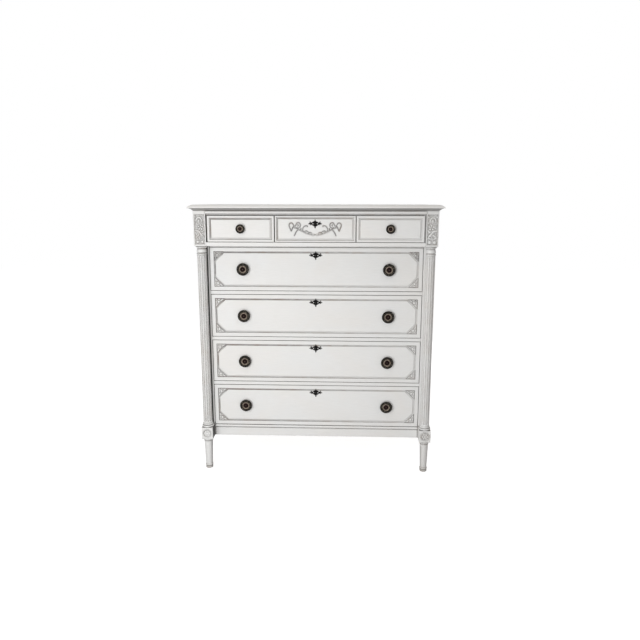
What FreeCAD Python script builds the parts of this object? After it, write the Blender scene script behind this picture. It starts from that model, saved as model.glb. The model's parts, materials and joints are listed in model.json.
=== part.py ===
"""Seven-drawer chest in the Louis XVI manner, painted wood, free-standing.

Three small drawers in a projecting frieze stand over four long drawers. A fluted
column stands free in each front corner, between a carved frieze block above and
a leg block below. All sizes are in millimetres. The origin is on the floor under
the middle of the top board; +Z is up, the front faces -Y and +X is to its right.
"""
import FreeCAD, Part

import math
import os

V = FreeCAD.Vector

# ------------------------------------------------------------ driving dimensions
# Top board
TOP_WIDTH = 1067.0
TOP_DEPTH = 508.0
OVOLO_DROP = 12.0          # rounded upper edge
OVOLO_RUN = 24.0
NOSE_HEIGHT = 2.4          # flat of the nose
COVE_DROP = 10.6           # hollow under the nose
EDGE_OVERHANG = 21.0       # nose beyond the frieze, front and sides
BACK_OVERHANG = 6.0

# Heights, counted up from the floor
LEG_HEIGHT = 143.4         # floor to the underside of the leg blocks
APRON_HEIGHT = 38.4
BASE_RAIL_HEIGHT = 13.9
LONG_DRAWER_HEIGHT = 186.2
LONG_DRAWER_COUNT = 4
RAIL_HEIGHT = 15.0         # between two long drawers
FRIEZE_RAIL_DROP = 7.4     # how far the frieze rail reaches down behind its own front
FRIEZE_RAIL_HEIGHT = 16.5
FRIEZE_DRAWER_HEIGHT = 108.5
FRIEZE_FILLET_HEIGHT = 5.8
FRIEZE_BEAD_HEIGHT = 12.3
FRIEZE_BEAD_PROUD = 4.0
FRIEZE_FILLET_SETBACK = 6.0
FRIEZE_MOULDING_DEPTH = 45.0

# Plan of the case
CORNER_WIDTH = 52.0        # frieze block, and the corner recess under it
RECESS_DEPTH = 54.5        # long-drawer front behind the frieze front
SIDE_SETBACK = 4.0         # case side behind the side of the frieze block
POST_DEPTH = 40.0          # front to back size of stiles, rails and rear posts
POST_WIDTH = 40.0          # width of a rear post
SIDE_RAIL_THICKNESS = 22.0
SIDE_BASE_RAIL_HEIGHT = 56.0
PANEL_THICKNESS = 10.0
PANEL_TONGUE = 8.0         # how far a panel enters its groove
PANEL_FIELD_RISE = 3.0
PANEL_FIELD_MARGIN = 34.0
BACK_THICKNESS = 8.0
BACK_REBATE = 10.0
BACK_RAIL_THICKNESS = 20.0
BACK_TOP_RAIL_HEIGHT = 60.0
BACK_BASE_RAIL_HEIGHT = 50.0
BASE_BEAD_HEIGHT = 11.5
BASE_BEAD_PROUD = 3.5
APRON_THICKNESS = 20.0
APRON_SETBACK = 1.5
ARRIS = 1.2                # small flat on exposed edges

# Frieze drawers
FRIEZE_DIVISION_X = 170.6  # centre of each joint between two frieze drawers
FRIEZE_JOINT = 4.0         # open joint between two frieze drawers
FRIEZE_STRIP = 5.0         # upright strip beside each corner block
STRIP_SETBACK = 14.0       # behind the frieze front, so the joint reads as a dark line
PARTITION_THICKNESS = 18.0
DUST_BOARD_THICKNESS = 12.0
GUIDE_HEIGHT = 16.0

# Drawers
FRONT_GAP = 2.0            # open joint above and below a drawer front
LONG_SIDE_GAP = 2.2
FRIEZE_SIDE_GAP = 1.7
LONG_FRONT_THICKNESS = 22.0
FRIEZE_FRONT_THICKNESS = 20.0
SIDE_THICKNESS = 11.0
DRAWER_BACK_THICKNESS = 10.0
DRAWER_BOTTOM_THICKNESS = 6.0
BOTTOM_LIFT = 10.0         # underside of the drawer bottom above the runner
BOTTOM_GROOVE = 5.0
SIDE_TOP_DROP = 12.0       # drawer sides lower than the front
BACK_TOP_DROP = 20.0       # drawer back lower than the front
DRAWER_REAR_SPACE = 12.0   # from the drawer back to the rear posts
RUN_CLEARANCE = 0.4        # drawer side above its runner
GUIDE_CLEARANCE = 0.8      # drawer side beside its guide
STOP_CLEARANCE = 0.3
FIT_CLEARANCE = 0.2        # glued and housed wood joints
STOP_WIDTH = 40.0
STOP_DEPTH = 14.0
STOP_HEIGHT = 6.0
STOP_X = 250.0
RUNNER_WIDTH = 56.0

# Mouldings on the drawer fronts
GROOVE_DEPTH = 4.0
GROOVE_WIDTH = 10.0
FIELD_SLOPE = 6.0          # the field's edge leans in by this much
LONG_BORDER = 16.0
SIDE_BORDER = 8.5
CENTRE_BORDER = 5.5
FIELD_CLIP = 39.5          # cut corners of the long-drawer fields
SPANDREL_SIZE = 43.0       # carved triangle in each cut corner
SPANDREL_RISE = 2.8

# Column
COLUMN_RADIUS = 19.8
QUIRK_RADIUS = 18.0         # sunk lines between the rings of the capital and base
ABACUS_RADIUS = 25.0
ABACUS_FOOT_RADIUS = 21.0
ABACUS_HEIGHT = 5.5
ABACUS_NECK = 2.0
CAVETTO_HEIGHT = 7.0
BELL_TOP_RADIUS = 20.2
BELL_RADIUS = 21.6
BELL_HEIGHT = 13.0
BELL_QUIRK_HEIGHT = 4.0
ASTRAGAL_RADIUS = 22.2
ASTRAGAL_HEIGHT = 6.5
SHAFT_QUIRK_HEIGHT = 1.5
BASE_FILLET_RADIUS = 22.8
BASE_FILLET_HEIGHT = 6.5
BASE_QUIRK_HEIGHT = 2.5
TORUS_RADIUS = 26.0
TORUS_HEIGHT = 9.5
FLUTE_COUNT = 12
FLUTE_RADIUS = 4.0
FLUTE_DEPTH = 2.2
FLUTE_TOP_GAP = 3.0        # plain shaft above and below the flutes
FLUTE_BASE_GAP = 7.0
DOWEL_RADIUS = 7.0
DOWEL_LENGTH = 14.0

# Leg
LEG_BLOCK_WIDTH = 50.0
LEG_BLOCK_HEIGHT = 54.0
LEG_BLOCK_CHAMFER = 1.5
LEG_RING_RADIUS = 23.2
LEG_RING_FOOT_RADIUS = 19.6
LEG_RING_HEIGHT = 9.4
LEG_BEAD_RADIUS = 19.8
LEG_BEAD_HEIGHT = 3.4
LEG_NECK_RADIUS = 17.6
LEG_NECK_HEIGHT = 1.6
LEG_TOP_RADIUS = 18.4
LEG_FOOT_RADIUS = 14.4
FOOT_RING_RADIUS = 16.8
FOOT_RING_HEIGHT = 7.5
FOOT_QUIRK_RADIUS = 13.4      # sunk line between the foot and its ring
FOOT_QUIRK_HEIGHT = 2.2
FOOT_RADIUS = 15.8
FOOT_HEIGHT = 9.5
REAR_FOOT_WIDTH = 28.0
ROSETTE_RADIUS = 19.0
ROSETTE_PROUD = 3.6

# Carved frieze block
BLOCK_MARGIN = 4.5
BLOCK_CAP = 14.0
BLOCK_BASE = 7.0
BLOCK_SINK = 3.0

# Hardware
LARGE_KNOB_DIAMETER = 54.0
SMALL_KNOB_DIAMETER = 38.5
LARGE_KNOB_PROUD = 18.0
SMALL_KNOB_PROUD = 14.5
LARGE_KNOB_X = 315.0
COLLAR_THICKNESS = 3.0
SHANK_RADIUS = 2.5
SHANK_CLEARANCE = 0.2
NUT_SIZE = 11.0
NUT_THICKNESS = 4.0
ESCUTCHEON_THICKNESS = 1.6
ESCUTCHEON_WIDTH = 55.0
ESCUTCHEON_HEIGHT = 37.0
KEYHOLE_RADIUS = 2.6
KEYHOLE_SLOT = 2.4
KEYHOLE_DROP = 8.0
KEYHOLE_BELOW_TOP = 33.0
LOCK_WIDTH = 60.0
LOCK_HEIGHT = 46.0
LOCK_THICKNESS = 12.0
LOCK_SINK = 8.0            # how deep the lock is let into the drawer front
LOCK_WALL = 2.0
BOLT_WIDTH = 28.0
BOLT_THICKNESS = 5.0
BOLT_HEIGHT = 20.0
BOLT_TRAVEL = 8.0
BOLT_CLEARANCE = 0.3
KEY_PIN_RADIUS = 1.3
MORTISE_MARGIN = 1.5       # round the bolt where it enters the rail above
SWAG_SPAN = 206.0
SWAG_SAG = 34.0
SWAG_RADIUS = 4.2
BOW_LENGTH = 22.0
BOW_LOOP_RADIUS = 9.5
BOW_RISE = 5.0             # loops stand this much above the knot
RIBBON_WIDTH = 5.0
TAIL_DROP = 36.0
SCROLL_RADIUS = 12.5
SCROLL_WIDTH = 4.0

# ------------------------------------------------------------ places worked out
TOP_THICKNESS = OVOLO_DROP + NOSE_HEIGHT + COVE_DROP
BLOCK_OUTER_X = TOP_WIDTH / 2 - EDGE_OVERHANG
CASE_IN = BLOCK_OUTER_X - CORNER_WIDTH
SIDE_X = BLOCK_OUTER_X - SIDE_SETBACK
SIDE_IN = SIDE_X - SIDE_RAIL_THICKNESS
COLUMN_X = BLOCK_OUTER_X - CORNER_WIDTH / 2

FRIEZE_Y = -TOP_DEPTH / 2 + EDGE_OVERHANG
RECESS_Y = FRIEZE_Y + RECESS_DEPTH
COLUMN_Y = FRIEZE_Y + CORNER_WIDTH / 2
STILE_BACK = RECESS_Y + POST_DEPTH
CASE_BACK = TOP_DEPTH / 2 - BACK_OVERHANG
POST_FRONT = CASE_BACK - POST_DEPTH
BACK_FACE = CASE_BACK - BACK_THICKNESS
DRAWER_END = POST_FRONT - DRAWER_REAR_SPACE

APRON_TOP = LEG_HEIGHT + APRON_HEIGHT
BASE_TOP = APRON_TOP + BASE_RAIL_HEIGHT
LONG_PITCH = LONG_DRAWER_HEIGHT + 2 * FRONT_GAP + RAIL_HEIGHT
FRIEZE_RAIL_LOW = BASE_TOP + LONG_DRAWER_COUNT * LONG_PITCH - RAIL_HEIGHT
FRIEZE_BOTTOM = FRIEZE_RAIL_LOW + FRIEZE_RAIL_DROP
FRIEZE_RAIL_TOP = FRIEZE_BOTTOM + FRIEZE_RAIL_HEIGHT
MOULDING_BOTTOM = FRIEZE_RAIL_TOP + FRIEZE_DRAWER_HEIGHT + 2 * FRONT_GAP
FRIEZE_TOP = MOULDING_BOTTOM + FRIEZE_FILLET_HEIGHT + FRIEZE_BEAD_HEIGHT
TOTAL_HEIGHT = FRIEZE_TOP + TOP_THICKNESS
LEG_BLOCK_TOP = LEG_HEIGHT + LEG_BLOCK_HEIGHT
LONG_FLOORS = [BASE_TOP + i * LONG_PITCH for i in reversed(range(LONG_DRAWER_COUNT))]
LONG_FRONT_X = CASE_IN - LONG_SIDE_GAP
STRIP_IN = CASE_IN - FRIEZE_STRIP


# ------------------------------------------------------------ shape helpers
def box(x0, x1, y0, y1, z0, z1):
    """Board between three pairs of planes."""
    return Part.makeBox(x1 - x0, y1 - y0, z1 - z0, V(x0, y0, z0))


def mirrored(shape):
    """The same piece on the other side of the chest."""
    return shape.mirror(V(0, 0, 0), V(1, 0, 0))


def edges_of(points, place):
    """Edges of a closed outline. A point is (a, b), or (a, b, mid_a, mid_b) for an arc."""
    edges = []
    last = place(*points[-1][:2])
    for point in points:
        here = place(*point[:2])
        if len(point) == 4:
            edges.append(Part.Arc(last, place(*point[2:]), here).toShape())
        else:
            edges.append(Part.makeLine(last, here))
        last = here
    return edges


def face_of(points, place):
    return Part.Face(Part.Wire(edges_of(points, place)))


def along_x(points, x0, x1):
    """A (y, z) section run from x0 to x1."""
    return face_of(points, lambda y, z: V(x0, y, z)).extrude(V(x1 - x0, 0, 0))


def along_y(points, y0, y1):
    """An (x, z) section run from y0 to y1."""
    return face_of(points, lambda x, z: V(x, y0, z)).extrude(V(0, y1 - y0, 0))


def turned(points, x, y):
    """A (radius, height) profile turned about the upright axis at x, y."""
    face = face_of(points, lambda r, z: V(x + r, y, z))
    return face.revolve(V(x, y, 0), V(0, 0, 1), 360)


def turned_forward(points, x, y, z):
    """A (radius, distance forward) profile turned about the axis that faces -Y."""
    face = face_of(points, lambda r, d: V(x + r, y - d, z))
    return face.revolve(V(x, y, z), V(0, 1, 0), 360)


def rod(x, y0, y1, z, radius):
    return Part.makeCylinder(radius, y1 - y0, V(x, y0, z), V(0, 1, 0))


def frustum(base, top, y_base, y_top):
    """Loft between two (x, z) outlines with as many points each."""
    wires = []
    for outline, y in ((base, y_base), (top, y_top)):
        ring = [V(x, y, z) for x, z in outline]
        wires.append(Part.makePolygon(ring + ring[:1]))
    return Part.makeLoft(wires, True, True)


def save(name, *solids):
    """Write one node: one solid, or several that stay separate."""
    shape = solids[0] if len(solids) == 1 else Part.makeCompound(list(solids))
    shape.exportStep("parts/" + name + ".step")
    print(name, len(shape.Solids), round(shape.Volume / 1000, 1), shape.isValid())


# ------------------------------------------------------------ top board
def top_board():
    """Slab with an ovolo, a flat nose and a cove on its front and two sides."""
    z_top = TOTAL_HEIGHT
    z_low = FRIEZE_TOP
    ovolo_run, ovolo_drop = level_start(OVOLO_RUN, OVOLO_DROP)
    cove_run, cove_drop = level_start(EDGE_OVERHANG, COVE_DROP)

    def edge(nose, inward):
        """Moulded edge from the top surface down to the underside."""
        return [
            (nose + inward * OVOLO_RUN, z_top),
            (nose, z_top - OVOLO_DROP,
             nose + inward * (OVOLO_RUN - ovolo_run), z_top - ovolo_drop),
            (nose, z_low + COVE_DROP),
            (nose + inward * EDGE_OVERHANG, z_low,
             nose + inward * cove_run, z_low + COVE_DROP - cove_drop),
        ]

    half = TOP_WIDTH / 2
    front = -TOP_DEPTH / 2
    back = TOP_DEPTH / 2
    long_way = along_x([(back, z_low), (back, z_top)] + edge(front, 1), -half, half)
    cross_way = along_y(edge(-half, 1) + read_upwards(edge(half, -1)), front, back)
    return long_way.common(cross_way)


def level_start(run, drop):
    """Run and drop to the middle of an arc that starts level and ends at run, drop."""
    radius = (run * run + drop * drop) / (2 * drop)
    half_angle = math.atan2(drop, run)
    return radius * math.sin(half_angle), radius * (1 - math.cos(half_angle))


def dome_middle(r, low, high):
    """Middle of an arc from radius r at low to the axis at high, level on the axis."""
    run, drop = level_start(r, high - low)
    return (run, high - drop)


def read_upwards(points):
    """The same moulded edge from its last point to its first."""
    turned_round = []
    for i in range(len(points) - 1, -1, -1):
        here = points[i][:2]
        if i + 1 < len(points) and len(points[i + 1]) == 4:
            turned_round.append(here + points[i + 1][2:])
        else:
            turned_round.append(here)
    return turned_round


# ------------------------------------------------------------ frieze
def frieze_moulding():
    """Half-round moulding over the frieze drawers, with a sunk fillet below it."""
    y_face = FRIEZE_Y
    y_back = FRIEZE_Y + FRIEZE_MOULDING_DEPTH
    y_fillet = y_face + FRIEZE_FILLET_SETBACK
    z_bead = MOULDING_BOTTOM + FRIEZE_FILLET_HEIGHT
    section = [
        (y_back, FRIEZE_TOP),
        (y_face, FRIEZE_TOP),
        (y_face, z_bead, y_face - FRIEZE_BEAD_PROUD, (FRIEZE_TOP + z_bead) / 2),
        (y_fillet, z_bead),
        (y_fillet, MOULDING_BOTTOM),
        (y_back, MOULDING_BOTTOM),
    ]
    rail = along_x(section, -CASE_IN, CASE_IN)
    return rail.cut(mortise(FRIEZE_Y + FRIEZE_FRONT_THICKNESS, MOULDING_BOTTOM))


def frieze_rail():
    """Rail under the frieze drawers; behind its front it reaches down to the long drawers."""
    section = [
        (STILE_BACK, FRIEZE_RAIL_TOP),
        (FRIEZE_Y, FRIEZE_RAIL_TOP),
        (FRIEZE_Y, FRIEZE_BOTTOM + ARRIS),
        (FRIEZE_Y + ARRIS, FRIEZE_BOTTOM),
        (RECESS_Y, FRIEZE_BOTTOM),
        (RECESS_Y, FRIEZE_RAIL_LOW),
        (STILE_BACK, FRIEZE_RAIL_LOW),
    ]
    rail = along_x(section, -CASE_IN, CASE_IN)
    return rail.cut(mortise(RECESS_Y + LONG_FRONT_THICKNESS, FRIEZE_RAIL_LOW))


def frieze_partitions():
    """Two partitions, the upright strips beside the blocks, and the side guides."""
    front = FRIEZE_Y + FRIEZE_FRONT_THICKNESS + STOP_CLEARANCE
    step = FRIEZE_Y + FRIEZE_MOULDING_DEPTH + FIT_CLEARANCE
    outline = [
        (POST_FRONT, FRIEZE_RAIL_TOP),
        (POST_FRONT, FRIEZE_TOP),
        (step, FRIEZE_TOP),
        (step, MOULDING_BOTTOM),
        (front, MOULDING_BOTTOM),
        (front, FRIEZE_RAIL_TOP),
    ]
    half = PARTITION_THICKNESS / 2
    board = along_x(outline, FRIEZE_DIVISION_X - half, FRIEZE_DIVISION_X + half)
    strip = box(STRIP_IN, CASE_IN, FRIEZE_Y + STRIP_SETBACK, STILE_BACK,
                FRIEZE_RAIL_TOP, MOULDING_BOTTOM)
    guide = box(STRIP_IN, SIDE_IN, STILE_BACK, POST_FRONT,
                FRIEZE_RAIL_TOP, FRIEZE_RAIL_TOP + GUIDE_HEIGHT)
    pieces = [board, strip, guide]
    return pieces + [mirrored(piece) for piece in pieces]


def frieze_dust_board():
    """Board that closes the frieze below and carries its three drawers."""
    return box(-SIDE_IN, SIDE_IN, STILE_BACK, POST_FRONT,
               FRIEZE_RAIL_TOP - DUST_BOARD_THICKNESS, FRIEZE_RAIL_TOP)


def corner_block():
    """Right-hand frieze block, with a sunk panel in its front and its outer side."""
    x0, x1 = CASE_IN, BLOCK_OUTER_X
    block = box(x0, x1, FRIEZE_Y, RECESS_Y, FRIEZE_BOTTOM, FRIEZE_TOP)
    z0 = FRIEZE_BOTTOM + BLOCK_BASE
    z1 = FRIEZE_TOP - BLOCK_CAP
    m = BLOCK_MARGIN
    block = block.cut(box(x0 + m, x1 - m, FRIEZE_Y, FRIEZE_Y + BLOCK_SINK, z0, z1))
    block = block.cut(box(x1 - BLOCK_SINK, x1, FRIEZE_Y + m, RECESS_Y - m, z0, z1))
    hole = Part.makeCylinder(DOWEL_RADIUS + FIT_CLEARANCE, DOWEL_LENGTH + 1,
                             V(COLUMN_X, COLUMN_Y, FRIEZE_BOTTOM))
    return block.cut(hole)


# ------------------------------------------------------------ columns and legs
def column():
    """Right-hand column: ringed capital and base, and twelve flutes with round ends."""
    z_top = FRIEZE_BOTTOM
    z_abacus = z_top - ABACUS_NECK
    z_cavetto = z_abacus - ABACUS_HEIGHT
    z_bell = z_cavetto - CAVETTO_HEIGHT
    z_bell_foot = z_bell - BELL_HEIGHT
    z_astragal = z_bell_foot - BELL_QUIRK_HEIGHT
    z_bead_foot = z_astragal - ASTRAGAL_HEIGHT
    z_shaft = z_bead_foot - SHAFT_QUIRK_HEIGHT
    bead_flat = ASTRAGAL_RADIUS - ASTRAGAL_HEIGHT / 3
    z_low = LEG_BLOCK_TOP
    z_torus = z_low + TORUS_HEIGHT
    z_quirk = z_torus + BASE_QUIRK_HEIGHT
    z_fillet = z_quirk + BASE_FILLET_HEIGHT
    r = COLUMN_RADIUS
    torus_flat = TORUS_RADIUS - TORUS_HEIGHT / 2
    profile = [
        (0, z_low - DOWEL_LENGTH),
        (DOWEL_RADIUS, z_low - DOWEL_LENGTH),
        (DOWEL_RADIUS, z_low),
        (torus_flat, z_low),
        (torus_flat, z_torus, TORUS_RADIUS, (z_low + z_torus) / 2),
        (QUIRK_RADIUS + 1.5, z_torus),
        (QUIRK_RADIUS + 1.5, z_quirk),
        (BASE_FILLET_RADIUS, z_quirk),
        (BASE_FILLET_RADIUS, z_fillet - 3),
        (r, z_fillet, BASE_FILLET_RADIUS - 1.9, z_fillet - 1.2),
        (r, z_shaft),
        (QUIRK_RADIUS, z_shaft),
        (QUIRK_RADIUS, z_bead_foot),
        (bead_flat, z_bead_foot),
        (bead_flat, z_astragal, ASTRAGAL_RADIUS, (z_bead_foot + z_astragal) / 2),
        (QUIRK_RADIUS, z_astragal),
        (QUIRK_RADIUS, z_bell_foot),
        (BELL_RADIUS, z_bell_foot),
        (BELL_TOP_RADIUS, z_bell,
         (BELL_RADIUS + BELL_TOP_RADIUS) / 2 - 0.5, (z_bell + z_bell_foot) / 2),
        (QUIRK_RADIUS, z_bell),
        (ABACUS_FOOT_RADIUS, z_cavetto,
         QUIRK_RADIUS + 0.7, (z_bell + z_cavetto) / 2 + 1),
        (ABACUS_RADIUS, z_abacus,
         (ABACUS_RADIUS + ABACUS_FOOT_RADIUS) / 2 + 0.8, (z_cavetto + z_abacus) / 2),
        (QUIRK_RADIUS + 1, z_abacus),
        (QUIRK_RADIUS + 1, z_top),
        (DOWEL_RADIUS, z_top),
        (DOWEL_RADIUS, z_top + DOWEL_LENGTH),
        (0, z_top + DOWEL_LENGTH),
    ]
    shaft = turned(profile, COLUMN_X, COLUMN_Y)
    z0 = z_fillet + FLUTE_BASE_GAP + FLUTE_RADIUS
    z1 = z_shaft - FLUTE_TOP_GAP - FLUTE_RADIUS
    reach = r - FLUTE_DEPTH + FLUTE_RADIUS
    cutters = []
    for i in range(FLUTE_COUNT):
        angle = 2 * math.pi * (i + 0.5) / FLUTE_COUNT
        x = COLUMN_X + reach * math.cos(angle)
        y = COLUMN_Y + reach * math.sin(angle)
        core = Part.makeCylinder(FLUTE_RADIUS, z1 - z0, V(x, y, z0))
        ends = [Part.makeSphere(FLUTE_RADIUS, V(x, y, z)) for z in (z0, z1)]
        cutters.append(core.fuse(ends).removeSplitter())
    return shaft.cut(Part.makeCompound(cutters))


def front_leg():
    """Right-hand leg block with the turned, tapered leg below it."""
    half = LEG_BLOCK_WIDTH / 2
    block = box(COLUMN_X - half, COLUMN_X + half, COLUMN_Y - half, RECESS_Y,
                LEG_HEIGHT, LEG_BLOCK_TOP)
    low = [e for e in block.Edges
           if abs(e.BoundBox.ZMax - LEG_HEIGHT) < 0.01 and e.BoundBox.YMin < RECESS_Y - 1]
    block = block.makeChamfer(LEG_BLOCK_CHAMFER, low)
    hole = Part.makeCylinder(DOWEL_RADIUS + FIT_CLEARANCE, DOWEL_LENGTH + 1,
                             V(COLUMN_X, COLUMN_Y, LEG_BLOCK_TOP - DOWEL_LENGTH - 1))
    z_ring = LEG_HEIGHT - LEG_RING_HEIGHT
    z_neck = z_ring - LEG_NECK_HEIGHT
    z_bead = z_neck - LEG_BEAD_HEIGHT
    z_quirk = FOOT_HEIGHT + FOOT_QUIRK_HEIGHT
    z_foot_ring = z_quirk + FOOT_RING_HEIGHT
    foot_flat = FOOT_RING_RADIUS - 1.6
    profile = [
        (0, 0),
        (FOOT_RADIUS - 1, 0),
        (FOOT_RADIUS, 1),
        (FOOT_RADIUS, FOOT_HEIGHT),
        (FOOT_QUIRK_RADIUS, FOOT_HEIGHT),
        (FOOT_QUIRK_RADIUS, z_quirk),
        (foot_flat, z_quirk),
        (foot_flat, z_foot_ring, FOOT_RING_RADIUS, (z_quirk + z_foot_ring) / 2),
        (LEG_FOOT_RADIUS, z_foot_ring + 1),
        (LEG_TOP_RADIUS, z_bead),
        (LEG_NECK_RADIUS, z_bead),
        (LEG_NECK_RADIUS, z_neck, LEG_BEAD_RADIUS, (z_bead + z_neck) / 2),
        (LEG_NECK_RADIUS, z_ring),
        (LEG_RING_FOOT_RADIUS, z_ring),
        (LEG_RING_RADIUS, LEG_HEIGHT,
         (LEG_RING_FOOT_RADIUS + LEG_RING_RADIUS) / 2 + 1, (z_ring + LEG_HEIGHT) / 2),
        (LEG_RING_RADIUS, LEG_HEIGHT + 1),
        (0, LEG_HEIGHT + 1),
    ]
    return block.cut(hole).fuse(turned(profile, COLUMN_X, COLUMN_Y)).removeSplitter()


def leg_rosettes():
    """Round carved rosettes on the front and the outer side of each leg block."""
    r = ROSETTE_RADIUS
    z = (LEG_HEIGHT + LEG_BLOCK_CHAMFER + LEG_BLOCK_TOP) / 2
    front_y = COLUMN_Y - LEG_BLOCK_WIDTH / 2
    profile = [
        (0, 0),
        (r, 0),
        (r, ROSETTE_PROUD * 0.5),
        (r * 0.8, ROSETTE_PROUD * 0.5, r * 0.9, ROSETTE_PROUD),
        (r * 0.3, ROSETTE_PROUD * 0.6, r * 0.55, ROSETTE_PROUD),
        (0, ROSETTE_PROUD) + dome_middle(r * 0.3, ROSETTE_PROUD * 0.6, ROSETTE_PROUD),
    ]
    front = turned_forward(profile, COLUMN_X, front_y, z)
    side = turned_forward(profile, 0, 0, 0)
    side.rotate(V(0, 0, 0), V(0, 0, 1), 90)
    side.translate(V(COLUMN_X + LEG_BLOCK_WIDTH / 2, COLUMN_Y, z))
    return [front, side, mirrored(front), mirrored(side)]


def front_stile():
    """Right-hand stile behind the column, grooved for the side panel."""
    post = box(CASE_IN, SIDE_X, RECESS_Y, STILE_BACK, LEG_HEIGHT, FRIEZE_TOP)
    return post.cut(panel_space())


def rear_leg():
    """Right-hand rear post, running down into a plain tapered leg."""
    x0 = SIDE_X - POST_WIDTH
    post = box(x0, SIDE_X, POST_FRONT, CASE_BACK, LEG_HEIGHT, FRIEZE_TOP)
    rebate = box(x0, x0 + BACK_REBATE, BACK_FACE, CASE_BACK, LEG_HEIGHT, FRIEZE_TOP)
    inset_x = (POST_WIDTH - REAR_FOOT_WIDTH) / 2
    inset_y = (POST_DEPTH - REAR_FOOT_WIDTH) / 2
    rings = []
    for z, dx, dy in ((LEG_HEIGHT, 0, 0), (0, inset_x, inset_y)):
        corners = [
            V(x0 + dx, POST_FRONT + dy, z),
            V(SIDE_X - dx, POST_FRONT + dy, z),
            V(SIDE_X - dx, CASE_BACK - dy, z),
            V(x0 + dx, CASE_BACK - dy, z),
        ]
        rings.append(Part.makePolygon(corners + corners[:1]))
    leg = Part.makeLoft(rings, True, True)
    return post.cut(rebate).cut(panel_space()).fuse(leg).removeSplitter()


# ------------------------------------------------------------ case
SIDE_PANEL_X = (SIDE_X + SIDE_IN) / 2
SIDE_PANEL_LOW = LEG_HEIGHT + SIDE_BASE_RAIL_HEIGHT
SIDE_PANEL_TOP = FRIEZE_BOTTOM


def panel_box(grow):
    """The side panel's board, or with a positive grow the groove round it."""
    half = PANEL_THICKNESS / 2 + grow
    reach = PANEL_TONGUE + grow
    return box(SIDE_PANEL_X - half, SIDE_PANEL_X + half,
               STILE_BACK - reach, POST_FRONT + reach,
               SIDE_PANEL_LOW - reach, SIDE_PANEL_TOP + reach)


def panel_space():
    return panel_box(FIT_CLEARANCE)


def side_panel():
    """Right-hand side panel with a raised, bevelled field."""
    face = SIDE_PANEL_X + PANEL_THICKNESS / 2
    m = PANEL_FIELD_MARGIN
    outline = [
        (STILE_BACK + m, SIDE_PANEL_LOW + m),
        (POST_FRONT - m, SIDE_PANEL_LOW + m),
        (POST_FRONT - m, SIDE_PANEL_TOP - m),
        (STILE_BACK + m, SIDE_PANEL_TOP - m),
    ]
    mid_y = (STILE_BACK + POST_FRONT) / 2
    rings = []
    for x, inset in ((face, 0), (face + PANEL_FIELD_RISE, 2 * PANEL_FIELD_RISE)):
        ring = [V(x, y + math.copysign(inset, mid_y - y),
                  z + math.copysign(inset, TOTAL_HEIGHT / 2 - z)) for y, z in outline]
        rings.append(Part.makePolygon(ring + ring[:1]))
    return panel_box(0).fuse(Part.makeLoft(rings, True, True)).removeSplitter()


def case_rails():
    """Side rails above and below each panel, and the two rails across the back."""
    top = box(SIDE_IN, SIDE_X, STILE_BACK, POST_FRONT, SIDE_PANEL_TOP, FRIEZE_TOP)
    low = box(SIDE_IN, SIDE_X, STILE_BACK, POST_FRONT, LEG_HEIGHT, SIDE_PANEL_LOW)
    sides = [rail.cut(panel_space()) for rail in (top, low)]
    half = SIDE_X - POST_WIDTH
    y0 = BACK_FACE - BACK_RAIL_THICKNESS
    back = [
        box(-half, half, y0, BACK_FACE, FRIEZE_TOP - BACK_TOP_RAIL_HEIGHT, FRIEZE_TOP),
        box(-half, half, y0, BACK_FACE, LEG_HEIGHT, LEG_HEIGHT + BACK_BASE_RAIL_HEIGHT),
    ]
    return sides + [mirrored(rail) for rail in sides] + back


def back_panel():
    """Thin board let into the rebates of the rear posts."""
    half = SIDE_X - POST_WIDTH + BACK_REBATE - FIT_CLEARANCE
    return box(-half, half, BACK_FACE, CASE_BACK, LEG_HEIGHT, FRIEZE_TOP)


def mortise(y_back, z):
    """Pocket in the underside of a rail, for the lock bolt of the drawer below it."""
    y0 = bolt_y(y_back)
    m = MORTISE_MARGIN
    half = BOLT_WIDTH / 2 + m
    return box(-half, half, y0 - m, y0 + BOLT_THICKNESS + m, z, z + BOLT_TRAVEL + m)


def drawer_rails():
    """Front rails: three between the long drawers, and a beaded one below them."""
    rails = []
    for z in LONG_FLOORS[:-1]:
        rail = box(-CASE_IN, CASE_IN, RECESS_Y, STILE_BACK, z - RAIL_HEIGHT, z)
        rails.append(rail.cut(mortise(RECESS_Y + LONG_FRONT_THICKNESS, z - RAIL_HEIGHT)))
    z_bead = BASE_TOP - BASE_BEAD_HEIGHT
    section = [
        (STILE_BACK, BASE_TOP),
        (RECESS_Y, BASE_TOP),
        (RECESS_Y, z_bead, RECESS_Y - BASE_BEAD_PROUD, (BASE_TOP + z_bead) / 2),
        (RECESS_Y + 2 * APRON_SETBACK, z_bead),
        (RECESS_Y + 2 * APRON_SETBACK, APRON_TOP),
        (STILE_BACK, APRON_TOP),
    ]
    return rails + [along_x(section, -CASE_IN, CASE_IN)]


def front_apron():
    """Plain flat apron between the stiles."""
    y0 = RECESS_Y + APRON_SETBACK
    y1 = y0 + APRON_THICKNESS
    section = [
        (y1, APRON_TOP),
        (y0, APRON_TOP),
        (y0, LEG_HEIGHT + ARRIS),
        (y0 + ARRIS, LEG_HEIGHT),
        (y1, LEG_HEIGHT),
    ]
    return along_x(section, -CASE_IN, CASE_IN)


def drawer_runners():
    """A runner under each end of each long drawer, and a guide beside the drawer."""
    pieces = []
    guide_x = LONG_BOX_X + GUIDE_CLEARANCE
    for z in LONG_FLOORS:
        z_low = max(z - RAIL_HEIGHT, APRON_TOP)
        runner = box(SIDE_IN - RUNNER_WIDTH, SIDE_IN, STILE_BACK, POST_FRONT, z_low, z)
        guide = box(guide_x, SIDE_IN, STILE_BACK, POST_FRONT, z, z + GUIDE_HEIGHT)
        pieces += [runner, guide]
    return pieces + [mirrored(piece) for piece in pieces]


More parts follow.
